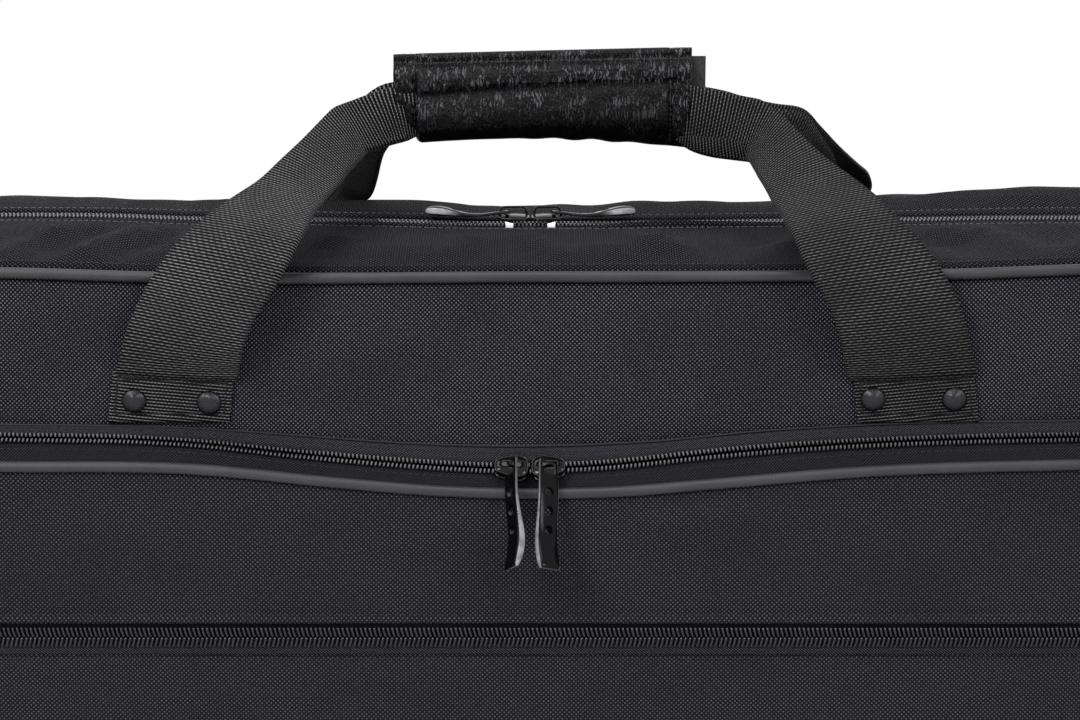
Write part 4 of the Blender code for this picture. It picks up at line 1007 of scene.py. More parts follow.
def teeth(name, line, out, inward, body, material, replaces, pitch, reach, high, lean=0.28, phase=0.0):
    """One side of a coil zip: a row of rounded loops, each leaning along the chain."""
    run = run_of(line)
    count = int(run[-1] / pitch)
    at = (np.arange(count) + 0.5 + phase) * pitch
    points, faces = bead(reach, pitch * 0.82, high, sides=6, taper=0.62)
    places = []

    def at_point(s, a):
        return np.array([np.interp(s, run, a[:, k]) for k in range(3)])

    for s in at:
        along = at_point(s + 0.5, line) - at_point(s - 0.5, line)
        along /= np.linalg.norm(along)
        up = at_point(s, out)
        across = np.cross(along, up)
        if across.dot(inward) < 0:
            across = -across
        x = across + along * lean
        x /= np.linalg.norm(x)
        up = up / np.linalg.norm(up)
        places.append((at_point(s, line), x, np.cross(up, x), up))
    obj = many(name, points, faces, places, material)
    return finish_piece(obj, body, replaces)


def main_coil(name, side, body, replaces):
    line, out = ring_line(side * 1.7, zip_depth(2, -0.9), 4.0, over_top=True)
    teeth(
        name, settled(line), out, np.array((0, -side, 0)), body, MAIN_COIL, replaces, 1.7, 2.5, 2.0,
        lean=0.12, phase=0.25 * side
    )


main_coil("front_coil_row", -1, "cover", ("front_zip_coil",))
main_coil("back_coil_row", 1, "tray", ("back_zip_coil",))


BASE_HALF, BASE_Y, BASE_SEAM_Y = 459.4, 75.1, 66


def base_strip():
    """The padded strip under the bag."""
    xs = spaced(-BASE_HALF, BASE_HALF, 8, fine=((-BASE_HALF, -452), (452, BASE_HALF)), fine_step=2)
    ys = spaced(-BASE_Y, BASE_Y, 5, fine=((-BASE_Y, -68), (68, BASE_Y)), fine_step=1.5)
    x, y = np.meshgrid(xs, ys, indexing="ij")
    edge = np.clip(np.minimum(BASE_HALF - np.abs(x), BASE_Y - np.abs(y)), 0, 8)
    tuck = 1.6 * (1 - rounded(edge, 8))
    seam = 0.5 * np.exp(-((np.abs(y) - BASE_SEAM_Y) / 0.9) ** 2)
    outer = xyz(x, y, 0.05 + tuck + seam)
    inner = xyz(x, y, 5.9 - tuck + 0.3 * ripple(x, y, 51, 60))
    obj = shell("base_pad", outer, inner, GUSSET, np.stack([x, y], -1))
    finish_piece(obj, "tray", ("base_gusset",))
    lines = [([(a, s * BASE_SEAM_Y, 0.1) for a in (-452, 452)], (0, 0, -1)) for s in (-1, 1)]
    stitches("base_stitches", lines, "tray", THREAD, lift=-0.4)


base_strip()


def gusset_stitches(name, side, body, y, low, material):
    """A row of stitches along the gusset, beside the main zip or the piping."""
    line, out = ring_line(side * y, zip_depth(y, low), 6.0, over_top=True)
    stitches(name, [(settled(line), out)], body, material)


for half_name, side, body in (("front", -1, "cover"), ("back", 1, "tray")):
    gusset_stitches(f"{half_name}_zip_stitches", side, body, 12.1, 0.0, PALE_THREAD)
    gusset_stitches(f"{half_name}_gusset_stitches", side, body, 71.0, 0.42, THREAD)

# Front pocket

# How far the pocket's sewn edge, zip and piping rise away from their low middle.
SEAM_RISE = rows(
    (-400, 10.6), (-222, 9.2), (-141, 7.5), (-98, 4.4), (-58, 1.4), (-10, 0), (45, 2.1), (90, 6.5),
    (127, 8.8), (222, 10.8), (400, 11.4)
)
CHAIN_RISE = rows(
    (-400, 14.8), (-375, 14.0), (-222, 13.7), (-141, 11.2), (-98, 6.2), (-58, 2.4), (-10, 0), (25, 1.5),
    (66, 6.1), (107, 9.7), (147, 11.8), (222, 13.7), (375, 14.2), (400, 15)
)
PIPE_RISE = rows(
    (-400, 14.9), (-375, 14.1), (-222, 11.4), (-141, 10.3), (-79, 4.2), (-40, 1.0), (-8, 0), (30, 0.8),
    (66, 3.8), (127, 9.1), (222, 12.4), (375, 14.3), (400, 15)
)
POCKET_PIPE_Y, POCKET_PIPE_Z = -94.385, 318.7
POCKET_LOW, POCKET_HALF = 45.0, 400.0


def pocket_rim(step=4.0):
    """The pocket piping's line round the pocket, with its dipping top."""
    half, low, r, top_r = POCKET_HALF - PIPING_R, POCKET_LOW + PIPING_R, 30.0, 10.0
    left_top, right_top = (POCKET_PIPE_Z + table(x, PIPE_RISE) for x in (-half, half))
    points = arc((-half + r, low + r), r, 1.5 * pi, 12)[0]
    points += [(-half, z) for z in np.arange(low + r, left_top - top_r, step)]
    points += arc((-half + top_r, left_top - top_r), top_r, pi, 8)[0]
    for x in np.arange(-half + top_r, half - top_r, step):
        points.append((x, POCKET_PIPE_Z + table(x, PIPE_RISE)))
    points += arc((half - top_r, right_top - top_r), top_r, pi / 2, 8)[0]
    points += [(half, z) for z in np.arange(right_top - top_r, low + r, -step)]
    points += arc((half - r, low + r), r, 0, 12)[0]
    points += [(x, low) for x in np.arange(half - r, -half + r, -step)]
    return np.array(points)


rim = pocket_rim()
rim = xyz(rim[:, 0], POCKET_PIPE_Y, rim[:, 1])
rim = tube("pocket_piping_cord", rim, PIPING_R, VINYL, sides=14, closed=True)
finish_piece(rim, "cover", ("pocket_piping",))

FLAT_Z = 257.3
# The pocket's front wall: its edges, and where its middle part with the flat zip ends.
FACE_HALF, FACE_LOW, FACE_EDGE, FACE_JOIN = 396.6, 48.2, 16, 268.4
# The seams above and below the flat zip.
FLAT_SEAMS = (267.2, 247.9)


def pocket_face():
    """The pocket's front wall: soft, with the flat pocket's zip set into a slot in it."""
    low_part = np.array(
        [
            247.2, 247.9, 248.4, 248.9, 249.3, 249.6, 250.2, 253.2, 257.3, 261.6, 263.2, 263.5, 263.8, 264.3,
            265.1, 266.0, 267.2, FACE_JOIN
        ]
    )
    lower = FACE_LOW + (246.4 - FACE_LOW) * spaced(0, 1, 0.03, fine=((0, 0.06),), fine_step=0.008)
    upper = np.linspace(0, 1, 34)
    xs = spaced(-1, 1, 0.014, fine=((-1, -0.97), (0.97, 1)), fine_step=0.004)
    half = FACE_HALF
    grid_x, grid_z = [], []
    for z in np.concatenate([lower, low_part]):
        grid_x.append(xs * half_width(z, half, FACE_LOW, 700, 27))
        grid_z.append(np.full(len(xs), z))
    for t in upper[1:]:
        x = xs * half
        top = POCKET_PIPE_Z + table(x, PIPE_RISE) - 1.2
        top = top - 7 * smoothstep(half - 10, half, np.abs(x)) ** 2
        grid_x.append(x)
        grid_z.append(FACE_JOIN + (top - FACE_JOIN) * t)
    x, z = np.array(grid_x), np.array(grid_z)
    top = POCKET_PIPE_Z + table(x, PIPE_RISE) - 1.2
    edge = np.clip(np.minimum(np.minimum(top - z, z - FACE_LOW), half - np.abs(x)), 0, FACE_EDGE)
    tuck = 2.6 * (1 - rounded(edge, FACE_EDGE))
    flat = smoothstep(60, 26, np.abs(z - 257))
    belly = 2.6 * np.sin(pi * np.clip((z - 48) / 270, 0, 1)) * np.cos(x / POCKET_HALF * pi / 2) ** 0.5
    soft = 1.8 * ripple(x, z, 61, 140) + 0.9 * ripple(x * 1.4 + z, z, 62, 70)
    soft = (soft + fold_height(x, z, POCKET_FOLDS)) * smoothstep(2, 14, edge)
    drape = 1.6 * np.exp(-((z - top + 26) / 15) ** 2) * ripple(x, x * 0, 63, 170)
    depth = 95.7 - tuck + (belly * 0.5 + soft + drape) * (1 - 0.85 * flat)
    inside = (z > 249.2) & (z < 263.35) & (np.abs(x) < 369.6)
    slot = np.abs(x) < 372
    hem = (1.7 * np.exp(-((z - 264.6) / 1.1) ** 2) + 0.5 * np.exp(-((z - 248.5) / 0.8) ** 2)) * slot
    groove = (np.exp(-((z - FLAT_SEAMS[0]) / 0.6) ** 2) + np.exp(-((z - FLAT_SEAMS[1]) / 0.5) ** 2)) * slot
    depth = depth + 0.75 * hem - 0.35 * groove
    depth = np.where(inside, 94.0, depth)
    outer, inner = xyz(x, -depth, z), xyz(x * 0.998, -92.75, z)
    obj = shell("pocket_face", outer, inner, POCKET_WEAVE, np.stack([x, z], -1))
    finish_piece(obj, "cover", ("pocket_panel",))
    seams = [(xyz(np.linspace(-371, 371, 60), -95.75, height), (0, -1, 0)) for height in FLAT_SEAMS]
    stitches("flat_zip_stitches", seams, "cover", THREAD)


pocket_face()


def slope_line(share, xs, lift=0.0):
    """A line along the pocket's sloping zip: share 0 at the sewn edge, 0.5 at the chain, 1 at the piping."""
    seam = xyz(xs, -79.6, 333.4 + table(xs, SEAM_RISE))
    chain = xyz(xs, -87.0, 326.6 + table(xs, CHAIN_RISE))
    pipe = xyz(xs, -93.1, 319.6 + table(xs, PIPE_RISE))
    near = seam + (chain - seam) * min(share * 2, 1)
    line = near + (pipe - chain) * max(share * 2 - 1, 0)
    swell = 1.0 * sin(pi * min(share / 0.34, 1)) if share < 0.34 else 0
    fall = pipe - seam
    out = xyz(0, fall[:, 2], -fall[:, 1])
    out /= -np.linalg.norm(out, axis=1)[:, None]
    out = np.where(out[:, 1:2] > 0, -out, out)
    return line + out * (lift + swell), out


def slope_strip(name, shares, lifts, material, replaces, thick=0.8):
    """A zip tape along the pocket's slope."""
    xs = np.arange(-397.5, 397.6, 3.75)
    outer, inner = (
        np.stack([slope_line(s, xs, h - down)[0] for s, h in zip(shares, lifts)], 0) for down in (0, thick)
    )
    across = run_of(outer[:, outer.shape[1] // 2])
    obj = shell(name, outer, inner, material, pairs(across, xs)[..., ::-1])
    finish_piece(obj, "cover", replaces)


upper = np.array([0, 0.04, 0.09, 0.14, 0.18, 0.20, 0.23, 0.26, 0.29, 0.32, 0.345, 0.36])
upper_lift = np.array([0.2, 1.1, 1.3, 1.0, 0.4, 0.15, 0.35, 0.4, 0.3, 0.1, -0.1, -0.5])
slope_strip("pocket_upper_strip", upper, upper_lift, TAPE, ("pocket_zip_upper_tape",))
lower = np.array([0.60, 0.64, 0.7, 0.78, 0.86, 0.94, 1.0])
slope_strip("pocket_lower_strip", lower, lower * 0 - 0.1, SHADED_TAPE, ("pocket_zip_lower_tape",))


def pocket_seam_shadow():
    """A dark cord along the pocket's sewn edge: painted shade for the dark gap at the fold there."""
    xs = np.linspace(-396, 396, 240)
    line = xyz(xs, -79.75, 334.2 + table(xs, SEAM_RISE))
    # Painted shade: a dark cord standing for the shaded gap along the pocket's top seam.
    finish_piece(tube("pocket_seam_shadow_cord", line, 0.6, THREAD, sides=8), "cover")


pocket_seam_shadow()


def pocket_coil(name, sign, share, replaces):
    xs = np.linspace(-396, 396, 260)
    line, out = slope_line(share, xs, 0.35)
    fall = np.array((0, -0.7, -0.7)) * sign
    teeth(name, line, out, fall, "cover", COIL, replaces, 1.7, 2.3, 2.0, lean=0.14, phase=0.25 * sign)


pocket_coil("pocket_upper_teeth", 1, 0.425, ("pocket_zip_upper_coil",))
pocket_coil("pocket_lower_teeth", -1, 0.575, ("pocket_zip_lower_coil",))
pocket_rows = [
    slope_line(share, np.linspace(-392, 392, 240), up) for share, up in ((0.20, 0.25), (0.72, 0.0))
]
stitches("pocket_zip_stitches", pocket_rows, "cover", THREAD)


def pocket_side():
    """The band round the pocket's ends and bottom, with a soft fold along it."""
    half, low, r = POCKET_HALF - 0.6, POCKET_LOW + 0.4, 29.0
    left, right = np.arange(331, low + r, -4.0), np.arange(low + r + 4, 333, 4.0)
    under = np.arange(-half + r + 4, half - r - 2, 4.0)
    first = arc((-half + r, low + r), r, pi, 12, pi / 2, last=True)
    second = arc((half - r, low + r), r, 1.5 * pi, 12, pi / 2, last=True)
    points = [(-half, z) for z in left] + first[0] + [(x, low) for x in under]
    points += second[0] + [(half, z) for z in right]
    outs = [(-1, 0)] * len(left) + first[1] + [(0, -1)] * len(under) + second[1] + [(1, 0)] * len(right)
    xz, out = np.array(points), np.array(outs)
    run = run_of(xz)
    section = rows(
        (-92.4, -0.4), (-90.5, 0.4), (-88, 0.2), (-85.6, -0.8), (-83.2, 0.1), (-81, 0.3), (-79.35, -0.2),
        (-79.35, -1.9), (-81.5, -1.7), (-85.6, -2.3), (-90, -1.6), (-92.4, -1.6)
    )
    loops = []
    lift = 2.5 + 10.5 * np.clip((section[:, 0] + 92.4) / 13, 0, 1)
    for k in range(len(xz)):
        d = section[:, 1] + 0.3 * ripple(run[k], section[:, 0] * 4, 71, 40)
        loop = outset(xz[k], out[k], d, section[:, 0])
        loop[:, 2] += max(0, 1 - min(k, len(xz) - 1 - k) / 3) * lift
        loops.append(loop)
    obj = swept_solid("pocket_band", np.array(loops), GUSSET)
    finish_piece(obj, "cover", ("pocket_gusset",))


pocket_side()


def flat_zip():
    """The flat pocket's zip: two twill tapes and two rows of teeth in the slot."""
    xs = np.linspace(-369, 369, 200)
    for name, z_low, z_high, material, node in (
        ("flat_lower_tape", 249.4, 256.4, TAPE, "flat_zip_lower_tape"),
        # The upper tape's near-black colour is painted shadow from the hem above it.
        ("flat_upper_tape", 258.2, 263.2, HEM_SHADOW_TAPE, "flat_zip_upper_tape"),
    ):
        zs = np.linspace(z_low, z_high, 8)
        z, x = np.meshgrid(zs, xs, indexing="ij")
        outer = xyz(x, -94.75 - 0.1 * np.sin((z - z_low) / (z_high - z_low) * pi), z)
        obj = shell(name, outer, xyz(x, -94.1, z), material, np.stack([x, z], -1))
        finish_piece(obj, "cover", (node,))
    for which, sign in (("lower", 1), ("upper", -1)):
        line = xyz(xs, -95.45, FLAT_Z - sign * 2.15)
        out = np.tile((0.0, -1.0, 0.0), (len(xs), 1))
        inward, node = np.array((0, 0, sign)), f"flat_zip_{which}_coil"
        teeth(
            f"flat_{which}_teeth", line, out, inward, "cover", COIL, (node,), 1.85, 4.5, 1.9,
            phase=0.25 * sign
        )


flat_zip()


def pouch():
    """The flat pocket's thin cloth bag behind the pocket's front wall."""
    half, low, top, middle_y = 377, 62.5, 272.5, -89.3
    z, x = np.meshgrid(np.linspace(low, top, 40), np.linspace(-half, half, 90), indexing="ij")
    edge = np.clip(np.minimum(np.minimum(z - low, top - z), half - np.abs(x)), 0, 18)
    full = rounded(edge, 18)
    soft = 0.25 * ripple(x, z, 81, 70)
    outer = xyz(x, middle_y - (2.6 + soft) * full, z)
    inner = xyz(x, middle_y + (2.5 + soft) * full, z)
    obj = shell("flat_pouch", outer, inner, LINING, np.stack([x, z], -1))
    finish_piece(obj, "cover", ("flat_pocket_pouch",))


pouch()

# Strap ends


# The webbing's width and thickness, and the sewn ends' size.
STRAP_WIDE, STRAP_THICK = 50, 1.25
# Inside the grip: each strap's distance from the middle, its edges' heights and what is folded under.
GRIP_Y, GRIP_HIGH, GRIP_LOW, GRIP_FOLD = 3.9, 472, 450, 20
# The room between a strap and what is folded behind it.
FOLD_GAP = 1.9
PATCH_HALF, PATCH_LOW, PATCH_HIGH, PATCH_Z = 24.6, -1.2, 20, 345.9
# The stitched box: its half width and lower seam, and the rows of its bar.
BOX_HALF, BOX_LOW, BAR_HALF, BAR_ROWS = 22.2, 2.4, 22.6, (15.8, 16.7, 17.6, 18.5)


def strap_end(name, side, sign, body, replaces):
    """The sewn end of a strap: ribbed webbing, pressed down by its stitches."""
    lean = sign * 0.045

    def place(x, y, up):
        return xyz(sign * PATCH_X + x + sign * 0.13 * (17 - up), side * y, PATCH_Z + up)

    zs, xs = np.linspace(PATCH_LOW, PATCH_HIGH, 36), np.linspace(-PATCH_HALF, PATCH_HALF, 50)
    z, x = np.meshgrid(zs, xs, indexing="ij")
    edge = np.clip(np.minimum(np.minimum(z - PATCH_LOW, PATCH_HIGH - z), PATCH_HALF - np.abs(x)), 0, 1.2)
    round_off = 0.55 * (1 - rounded(edge, 1.2))
    ends = np.abs(np.abs(x) - BOX_HALF) + 3 * (z > 17.5)
    across = np.minimum(np.abs(z - BOX_LOW), 0.6 * np.abs(z - lean * x - 17.2)) + 3 * (np.abs(x) > 23.3)
    press = 0.45 * np.exp(-((np.minimum(ends, across) / 0.8) ** 2))
    depth = 81.15 - round_off - press + 0.12 * ripple(x, z, 91, 14)
    outer, inner = place(x, depth, z), place(x, 79.1, z)
    obj = shell(name, outer, inner, WEBBING, np.stack([z - sign * 0.1 * x, x], -1))
    finish_piece(obj, body, replaces)
    low = BOX_LOW
    seams = [
        ((-BOX_HALF, low), (BOX_HALF, low)), ((BOX_HALF, low), (BOX_HALF, 16)),
        ((-BOX_HALF, low), (-BOX_HALF, 16))
    ]
    seams += [((-BAR_HALF, up - BAR_HALF * lean), (BAR_HALF, up + BAR_HALF * lean)) for up in BAR_ROWS]
    shares = np.linspace(0, 1, 8)
    path = []
    for a, b in seams:
        line = place(a[0] + (b[0] - a[0]) * shares, 80.85, a[1] + (b[1] - a[1]) * shares)
        path.append((line, (0, side, 0)))
    stitches(name + "_stitches", path, body, DARK_THREAD, length=1.7, pitch=1.9, thick=0.75)


for side, half_name, body in ((-1, "front", "cover"), (1, "rear", "tray")):
    for sign, hand in ((-1, "left"), (1, "right")):
        node = f"{half_name}_{hand}_strap_end"
        strap_end(f"{half_name}_{hand}_patch", side, sign, body, (node,))

# Carrying straps

def seen_at(px, py, y):
    """The point at depth y that the camera shows at a pixel of its picture."""
    focal = FRAME_WIDE * LENS / SENSOR
    v, u = (FRAME_HIGH / 2 - py) / focal, (px - FRAME_WIDE / 2) / focal
    ray = np.array((u, cos(PITCH) + v * sin(PITCH), -sin(PITCH) + v * cos(PITCH)))
    return EYE + ray * (y - EYE[1]) / ray[1]


# The front strap's edges from its sewn ends to the grip. Each row: the outer and the inner edge in
# pixels of the camera's picture, their depths y, and how much webbing is folded under.
FRONT_LEFT = (
    (115.2, 373.5, 236, 379.5, -80.8, -80.8, 0), (118.4, 363, 237.5, 371, -83, -83, 0),
    (122.5, 347, 239, 362, -86, -86.5, 0),
    (128.5, 325, 241.5, 346, -87.8, -89.5, 1), (140, 300, 249, 322, -87.4, -92.3, 4),
    (153, 276, 264, 298, -85.5, -94.4, 8),
    (171, 250, 279, 272, -80.5, -93.5, 11), (193, 228, 291, 248, -73, -89, 13),
    (214, 211, 302, 229, -64, -81, 14),
    (237, 195.5, 311, 211, -54, -68, 16), (260, 180, 320, 200, -45, -56, 17),
    (281, 160, 332, 187, -35, -44, 18),
    (302, 140, 344, 173, -25, -32, 20), (321, 120, 356, 160, -15, -20, 21),
    (332, 109, 362, 154, -9.5, -14, 22),
    (340, 105, 366, 150, -7, -10, 22), (352, 100.5, 378, 146, -5.4, -6.4, 22),
    (370, 95, 391, 142, -4.9, -5, 22),
    (393, 88.5, 406, 138, -4.6, -4.6, 22),
)
FRONT_RIGHT = (
    (977, 374.5, 848.5, 379, -80.8, -80.8, 0), (975, 362, 847.2, 371, -83, -83, 0),
    (971, 344, 845, 357, -86, -87, 0),
    (965, 323, 842, 337, -87.8, -90.5, 1), (958.5, 302, 837, 316, -87.4, -93, 4),
    (947, 280, 828, 296, -85.5, -94.5, 7),
    (935, 260, 817.5, 278, -82, -94, 9), (919, 240, 808, 259, -77, -91, 11),
    (899, 220, 799, 238, -70, -85, 12),
    (880, 200, 789, 220, -60, -76, 14), (855, 180, 778, 203, -48, -62, 16),
    (828, 160, 768, 185, -38, -48, 18),
    (806, 140, 760, 173, -27, -36, 20), (787.5, 120, 753.5, 163, -17, -24, 21),
    (773, 108.5, 749.5, 158.5, -10, -14, 22),
    (762, 100, 743, 158, -7.5, -9, 22), (746, 96.5, 730, 156.5, -5.4, -6, 22),
    (725, 92, 712, 154, -4.8, -5, 22),
    (700, 87, 692, 148, -4.6, -4.6, 22),
)


def ribbon_sections(outer, inner, fold, behind):
    """Sections of a strap between two edges, with its lower part folded back behind it."""
    sections = []
    for o, i, f, b in zip(outer, inner, fold, behind):
        wide = i - o
        across = wide / np.linalg.norm(wide)
        line = [o + wide * t - b * (0.9 * sin(pi * t)) for t in np.linspace(0, 1, 12)]
        gap = FOLD_GAP
        for turn in np.linspace(0, pi, 6)[1:]:
            bend = (across * sin(turn) * gap / 2 + b * (1 - cos(turn)) * gap / 2) * min(f / 3, 1)
            line.append(i + bend)
        end = line[-1]
        for t in np.linspace(0, 1, 6)[1:]:
            line.append(end - across * f * t + b * 0.4 * sin(pi * t) * min(f / 3, 1))
        sections.append(line)
    return np.array(sections)


def applied(obj):
    """Turn a piece's modifiers into its mesh."""
    graph = bpy.context.evaluated_depsgraph_get()
    mesh = bpy.data.meshes.new_from_object(obj.evaluated_get(graph), depsgraph=graph)
    obj.modifiers.clear()
    obj.data = mesh
    return mesh


def sewn(obj, replaces):
    """Make a strap's modifiers and place part of its mesh, and hide the nodes it stands for."""
    applied(obj)
    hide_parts(*replaces)
    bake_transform(obj)


def strap_piece(name, halves, side, replaces):
    """A webbing strap, one piece from both sewn ends to the middle of the grip."""
    grids, uvs = [], []
    for sign, edges in zip((-1, 1), halves):
        outer, inner, fold = edges[:, :3], edges[:, 3:6], edges[:, 6]
        for x in (50, 25, 0):
            outer = np.concatenate([outer, [(sign * x, side * GRIP_Y, GRIP_HIGH)]])
            inner = np.concatenate([inner, [(sign * x, side * GRIP_Y, GRIP_LOW)]])
            fold = np.append(fold, GRIP_FOLD)
        line = curve(np.concatenate([outer, inner, fold[:, None]], 1), 90)
        outer, inner, fold = line[:, :3], line[:, 3:6], line[:, 6]
        behind = np.cross(inner - outer, np.gradient((outer + inner) / 2, axis=0))
        behind /= np.linalg.norm(behind, axis=1)[:, None]
        behind[behind[:, 1] * side > 0] *= -1
        sections = ribbon_sections(outer, inner, np.clip(fold, 0.3, 25), behind)
        m = sections.shape[1]
        grids.append(sections.reshape(-1, 3))
        uvs.append(pairs(run_of(sections[:, m // 3]), np.linspace(0, STRAP_WIDE, m)))
    n = len(sections)
    faces, corners = grid_faces(n, m)
    loops = [tuple(uvs[0][c[0], c[1]]) for f in corners for c in f]
    loops += [tuple(uvs[1][c[0], c[1]]) for f in corners[:, ::-1] for c in f]
    both = faces.tolist() + (faces[:, ::-1] + n * m).tolist()
    obj = new_object(name, np.concatenate(grids), both, WEBBING, loops, outward=False)
    solid = obj.modifiers.new("thickness", "SOLIDIFY")
    solid.thickness = STRAP_THICK * MM
    solid.offset = 0
    solid.use_quality_normals = True
    sewn(obj, replaces)


def seen_edges(edges):
    """Rows of points in space, from rows in the camera's pixels."""
    return rows(*[(*seen_at(r[0], r[1], r[4]), *seen_at(r[2], r[3], r[5]), r[6]) for r in edges])


strap_piece(
    "front_strap", (seen_edges(FRONT_LEFT), seen_edges(FRONT_RIGHT)), -1,
    ("front_handle_strap",),
)

# The rear strap's outer and inner edges and its fold, from the sewn end to the grip.
REAR_LEFT = rows(
    (-175, 80.4, 366, -125, 80.4, 366, 0), (-174, 85, 376, -124, 86, 374, 0),
    (-163, 92, 388, -114, 92, 384, 3),
    (-142, 92, 401, -98, 87, 395, 7), (-122, 77, 418, -84, 72, 405, 11), (-108, 56, 432, -78, 57, 411, 14),
    (-97, 36, 443, -74, 38, 422, 17), (-88, 18, 453, -71, 20, 433, 20), (-79, 8, 461, -68, 8, 441, 22),
    (-66, 4.8, 466, -62, 4.8, 448, 22),
)
REAR_RIGHT = rows(
    (175, 80.4, 366, 125, 80.4, 366, 0), (175, 85, 377, 125, 85, 376, 0), (170, 91, 390, 125, 91, 388, 0.3),
    (152.8, 90, 402, 130, 90, 399, 1), (150.2, 78, 410.6, 132, 80, 406.5, 3),
    (146.7, 66, 418.1, 129, 67, 414, 5),
    (140.6, 54, 424.6, 124, 55, 420, 8), (130.8, 40, 435, 116, 40, 426, 13),
    (120.1, 25, 447.6, 108, 24, 432, 17),
    (111.5, 14, 456.8, 102, 13, 437.5, 20), (97.4, 6, 460.5, 91, 7, 438, 22),
    (76, 4.8, 465.5, 72, 4.8, 445, 22),
)


strap_piece("rear_strap", (REAR_LEFT, REAR_RIGHT), 1, ("rear_handle_strap",))


def turn_up(name, upper, lower):
    """The strap's folded edge beside the grip. Rows: a pixel of the camera's picture, and depth y."""
    top = curve([seen_at(*p) for p in upper], 30)
    low = curve([seen_at(*p) for p in lower], 30)
    shares = np.linspace(0, 1, 6)
    swell = np.sin(pi * shares)[:, None, None] * np.array((0, -0.5, 0))
    outer = top[None] + (low - top)[None] * shares[:, None, None] + swell
    inner = outer + np.array((0, 1.1, 0))
    obj = shell(name, outer, inner, WEBBING, pairs(run_of(top), shares * 10).transpose(1, 0, 2))
    finish_piece(obj, "front_handle")


turn_up(
    "left_turn_up",
    ((365, 146, -11.6), (378, 142.5, -8.4), (391, 138.4, -6.8), (405, 134.2, -6.6)),
    ((367, 150.4, -11.6), (379, 147, -8.4), (392, 143, -6.8), (407, 138.6, -6.6)),
)
turn_up(
    "right_turn_up",
    ((743, 143, -10.8), (730, 140, -8), (712, 138, -7), (690, 136, -6.6)),
    ((747, 158.8, -10.8), (730, 157.4, -8), (712, 154.8, -7), (691, 148.6, -6.6)),
)

# The grip's leather wrap

WRAP_LEFT, WRAP_RIGHT = -63.2, 62.6
# How far the seams at the wrap's ends are from the ends.
SEAM_INSETS = (1.7, 8.9)
# How far the wrap's lower edge is cut away towards its left end.
WRAP_CUT = rows((-63.2, 17.5), (-60.0, 15.5), (-56.5, 7.5), (-53.2, 1.0), (-51, 0))


def wrap_half(name, side, body, replaces):
    """One padded leather half of the grip: a sewn flange on top and two soft rolls below it."""
    xs = spaced(WRAP_LEFT, WRAP_RIGHT, 0.8)
    loops = []
    for x in xs:
        t = (x - WRAP_LEFT) / (WRAP_RIGHT - WRAP_LEFT)
        top = 482.3 + 3.1 * t
        crease = 463.6 + 7.6 * sin(pi / 2 * t) ** 0.8
        low = 443.9 + 3.4 * sin(pi * t) ** 0.9 - 1.4 * t
        cut_away = float(table(x, WRAP_CUT))
        pucker = 0.45 * sin(x / 2.7) * np.exp(-(((x - 18) / 24) ** 2))
        near_end = min(x - WRAP_LEFT, WRAP_RIGHT - x)
        flat = 1 - 0.34 * float(smoothstep(11, 8.4, near_end))
        flat -= 0.16 * float(np.exp(-((near_end - SEAM_INSETS[1]) / 0.6) ** 2))
        flat -= 0.1 * float(
            np.exp(-((near_end - SEAM_INSETS[0]) / 0.5) ** 2)
        ) + 0.2 * float(smoothstep(1.0, 0, near_end))
        mid = (top - 4.2 + crease) / 2
        foot = min(low + cut_away, crease - 1.6)
        belly = (crease + foot) / 2
        outer = rows(
            (0.5, top - 0.1), (1.3, top + 0.1), (2.2, top - 0.7), (2.5, top - 1.8), (2.1, top - 3.0),
            (2.35, top - 3.9), (4.4, top - 5.4),
            (6.9, top - 8.0), (8.2, mid + 1.0), (8.5, mid - 2.6), (8.1, crease + 2.6), (7.35, crease + 0.6),
            (7.5, crease - 0.8), (8.6, crease - 2.6), (9.8, belly + 4), (10.1, belly + 0.5),
            (9.2, belly - 4.5), (6.6, foot + 3.4), (3.8, foot + 0.9 + pucker), (1.6, foot + pucker),
            (0.4, foot + 0.2 + pucker),
        )
        if cut_away > 2:
            keep = outer[:, 1] > foot - 0.3
            keep[-3:] = True
            outer = outer[keep]
        outer[:, 0] = 0.4 + (outer[:, 0] - 0.4) * flat
        inner = rows(
            (0.35, foot + 2.2), (3.0, foot + 3.2), (4.2, foot + 5.5), (4.6, (foot + top) / 2 - 3),
            (4.6, (foot + top) / 2 + 3), (3.4, top - 9.5), (1.2, top - 7.0), (0.45, top - 5)
        )
        section = np.concatenate([curve(outer, 56), inner])
        loops.append(np.stack([np.full(len(section), x), side * section[:, 0], section[:, 1]], 1))
    loops = np.array(loops)
    x, z = loops[..., 0], loops[..., 2]
    fine = 0.22 * ripple(x * 2.2, z * 0.6, 101 + (side > 0), 13) + 0.16 * ripple(x * 1.2, z, 103, 8)
    order = np.arange(loops.shape[1])
    is_outer = smoothstep(3, 8, order) * smoothstep(54, 49, order)
    inside = smoothstep(6, 12, np.minimum(x - WRAP_LEFT, WRAP_RIGHT - x))
    loops[..., 1] += side * fine * is_outer * (0.35 + 0.65 * inside)
    obj = swept_solid(name, loops, LEATHER)
    finish_piece(obj, body, replaces)
    lines = []
    for inset in SEAM_INSETS:
        for at in (WRAP_LEFT + inset, WRAP_RIGHT - inset):
            k = int(np.argmin(np.abs(xs - at)))
            lines.append((loops[k, 4:52], (0, side, 0)))
    lines.append((loops[2:-2, 6], (0, side, 0)))
    stitches(
        name + "_stitches", lines, body, SEWING, length=1.7, pitch=2.3, thick=0.42, lift=0.12,
    )


wrap_half("wrap_front", -1, "wrap_flap", ("wrap_front_flap",))
wrap_half("wrap_back", 1, "rear_handle", ("wrap_rear",))


